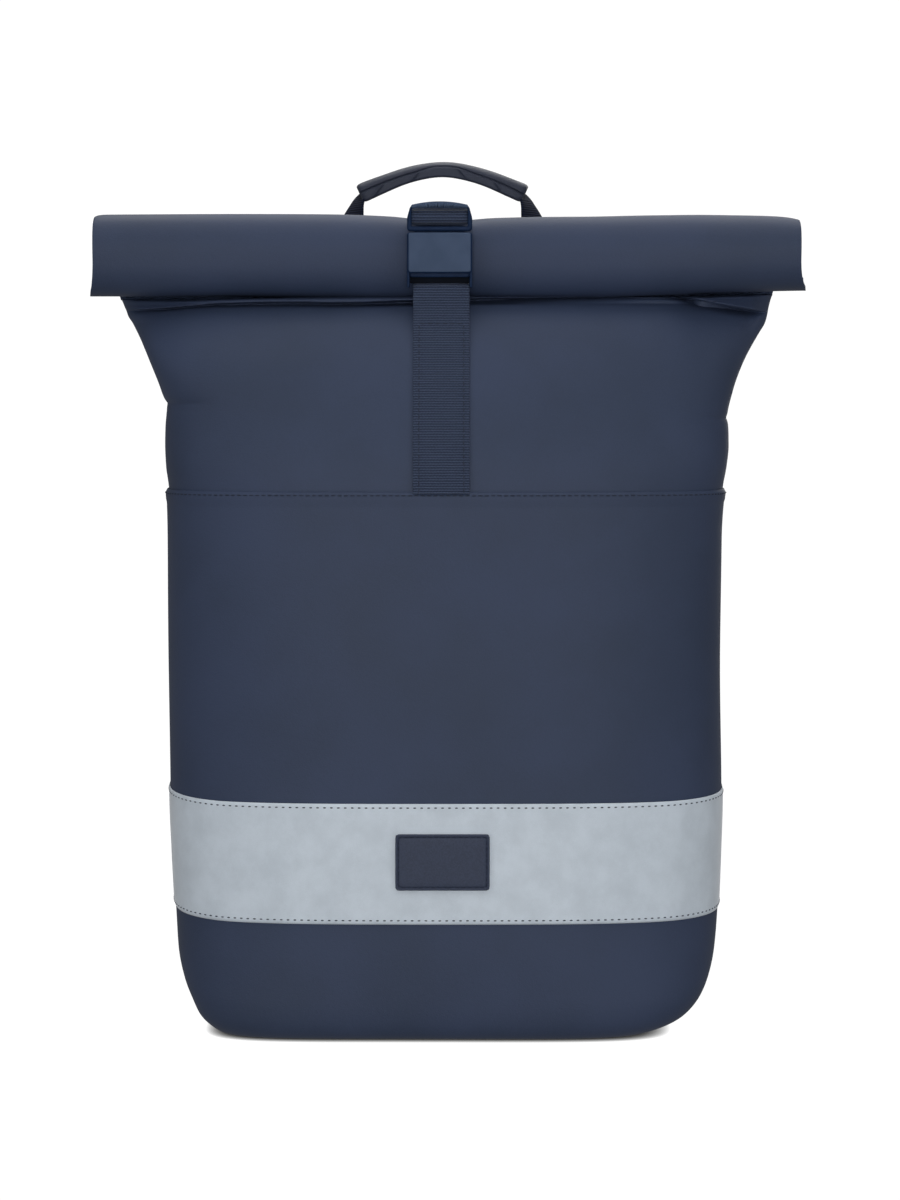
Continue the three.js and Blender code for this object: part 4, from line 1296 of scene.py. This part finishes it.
def strap_tab(name, side):
    """Sewn tab: a plate that narrows upwards, with a groove near the edge of its outer face."""
    outline = rounded_outline(2, 2, TAB.corner) / 2
    rise = outline[:, 1] + 0.5
    half = TAB.bottom_half + (TAB.top_half - TAB.bottom_half) * rise
    outline = np.stack([outline[:, 0] * 2 * half, outline[:, 1] * TAB.height], -1)
    return plate(f"strap_tab_{name}_patch", outline, TAB_EDGE, side * TAB.x, TAB.y, TAB.z)


# Stage

def studio_sky():
    """White to the eye; it lights the bag softly, more from below the horizon than from above."""
    world = bpy.data.worlds.new("studio")
    world.use_nodes = True
    sky = Nodes(world.node_tree)
    way = sky.node("ShaderNodeTexCoord", {}, {}, "Generated")
    height = sky.node("ShaderNodeSeparateXYZ", {}, {0: way}, "Z")
    seen = sky.node("ShaderNodeLightPath", {}, {}, "Is Camera Ray")
    soft = SKY.below + height.clamp(*SKY.change) * (SKY.above - SKY.below)
    background = world.node_tree.nodes["Background"]
    background.inputs["Color"].default_value = (1, 1, 1, 1)
    sky.plug(background.inputs["Strength"], soft * (1 - seen) + seen * SKY.seen)
    bpy.context.scene.world = world


def studio_floor():
    """A white light table: it glows evenly, is shaded near the bag, and throws no light on it."""
    side = FLOOR.side
    mesh = bpy.data.meshes.new("floor")
    corners = [(-side, -side, 0), (side, -side, 0), (side, side, 0), (-side, side, 0)]
    mesh.from_pydata(corners, [], [(0, 1, 2, 3)])
    floor = add_object("floor", mesh)
    table = Shader("floor_table", specular_ior_level=0, emission_strength=FLOOR.white)
    table.set("Base Color", (0, 0, 0, 1))
    samples, reach = {"samples": FLOOR.shadow_samples}, {"Distance": FLOOR.shadow_reach}
    near = table.node("ShaderNodeAmbientOcclusion", samples, reach, "AO")
    table.set("Emission Color", near)
    mesh.materials.append(table.material)
    floor.visible_diffuse = False
    floor.visible_glossy = False


def studio_lamps():
    """Soft lamps: each faces its target from its place."""
    for name, place, target, size, power in LAMPS:
        light = bpy.data.lights.new(name, "AREA")
        light.size = size
        light.energy = power
        lamp = add_object(name, light)
        lamp.location = place
        way = Vector(np.subtract(target, place))
        lamp.rotation_euler = way.to_track_quat("-Z", "Y").to_euler()


def camera():
    """The photograph's view: a long lens, level with the neck and tipped a little down."""
    data = bpy.data.cameras.new("camera")
    data.lens = CAMERA.lens
    data.sensor_width = CAMERA.sensor
    data.clip_end = CAMERA.far
    view = add_object("camera", data)
    view.location = CAMERA.place
    view.rotation_euler = (math.radians(90 - CAMERA.pitch), 0, 0)
    scene = bpy.context.scene
    scene.camera = view
    scene.view_settings.view_transform = "Standard"


# Assembly

studio_sky()
studio_floor()
studio_lamps()
camera()
dress(body_shell(), "coated_cloth", "body_shell")
dress(front_panel(), "coated_cloth", "front_panel")
dress(reflective_band(), "reflective_cloth", "reflective_band")
dress(label_patch(), "label", "label_patch")
dress(sheet("roll_top_cloth", roll_grid(0), roll_grid(1)), "coated_cloth", "roll_top")
hem_top = PANEL.high + PANEL_EDGE.hem_thick
for seam, seam_height, seam_lift, seam_rise, size, yarn in (
    ("panel_hem", PANEL.top - SEAM.hem, hem_top, np.zeros_like, HEM_STITCH, "navy_thread"),
    ("band_top", BAND.top - SEAM.band, BAND.high, band_rise, BAND_STITCH, "dark_thread"),
    ("band_bottom", BAND.bottom + SEAM.band, BAND.high, band_rise, BAND_STITCH, "dark_thread"),
):
    seam_row, seam_out = seam_line(seam_height, seam_lift, seam_rise)
    dress(stitches(f"{seam}_stitches", seam_row, seam_out, size), yarn)
closing_straps()
strap_box_stitches()
buckle_catch()
buckle_hook()
dress(handle_grip(), "grip_cloth", "handle_grip", slot="coated_cloth")
dress(back_pad(), "padded_cloth", "back_pad")
for side_name, side_sign in (("left", -1), ("right", 1)):
    # The handle's webs wear the darker webbing: painted shade
    dress(handle_web(side_name, side_sign), "handle_webbing_painted_shade", f"handle_web_{side_name}", slot="webbing")
    strap_piece = shoulder_strap(side_name, side_sign)
    dress(strap_piece, "padded_cloth", f"shoulder_strap_{side_name}")
    dress(lower_webbing(side_name, side_sign), "webbing", f"strap_webbing_{side_name}")
    adjuster(side_name, side_sign)
    dress(strap_tab(side_name, side_sign), "coated_cloth", f"strap_tab_{side_name}", slot="webbing")
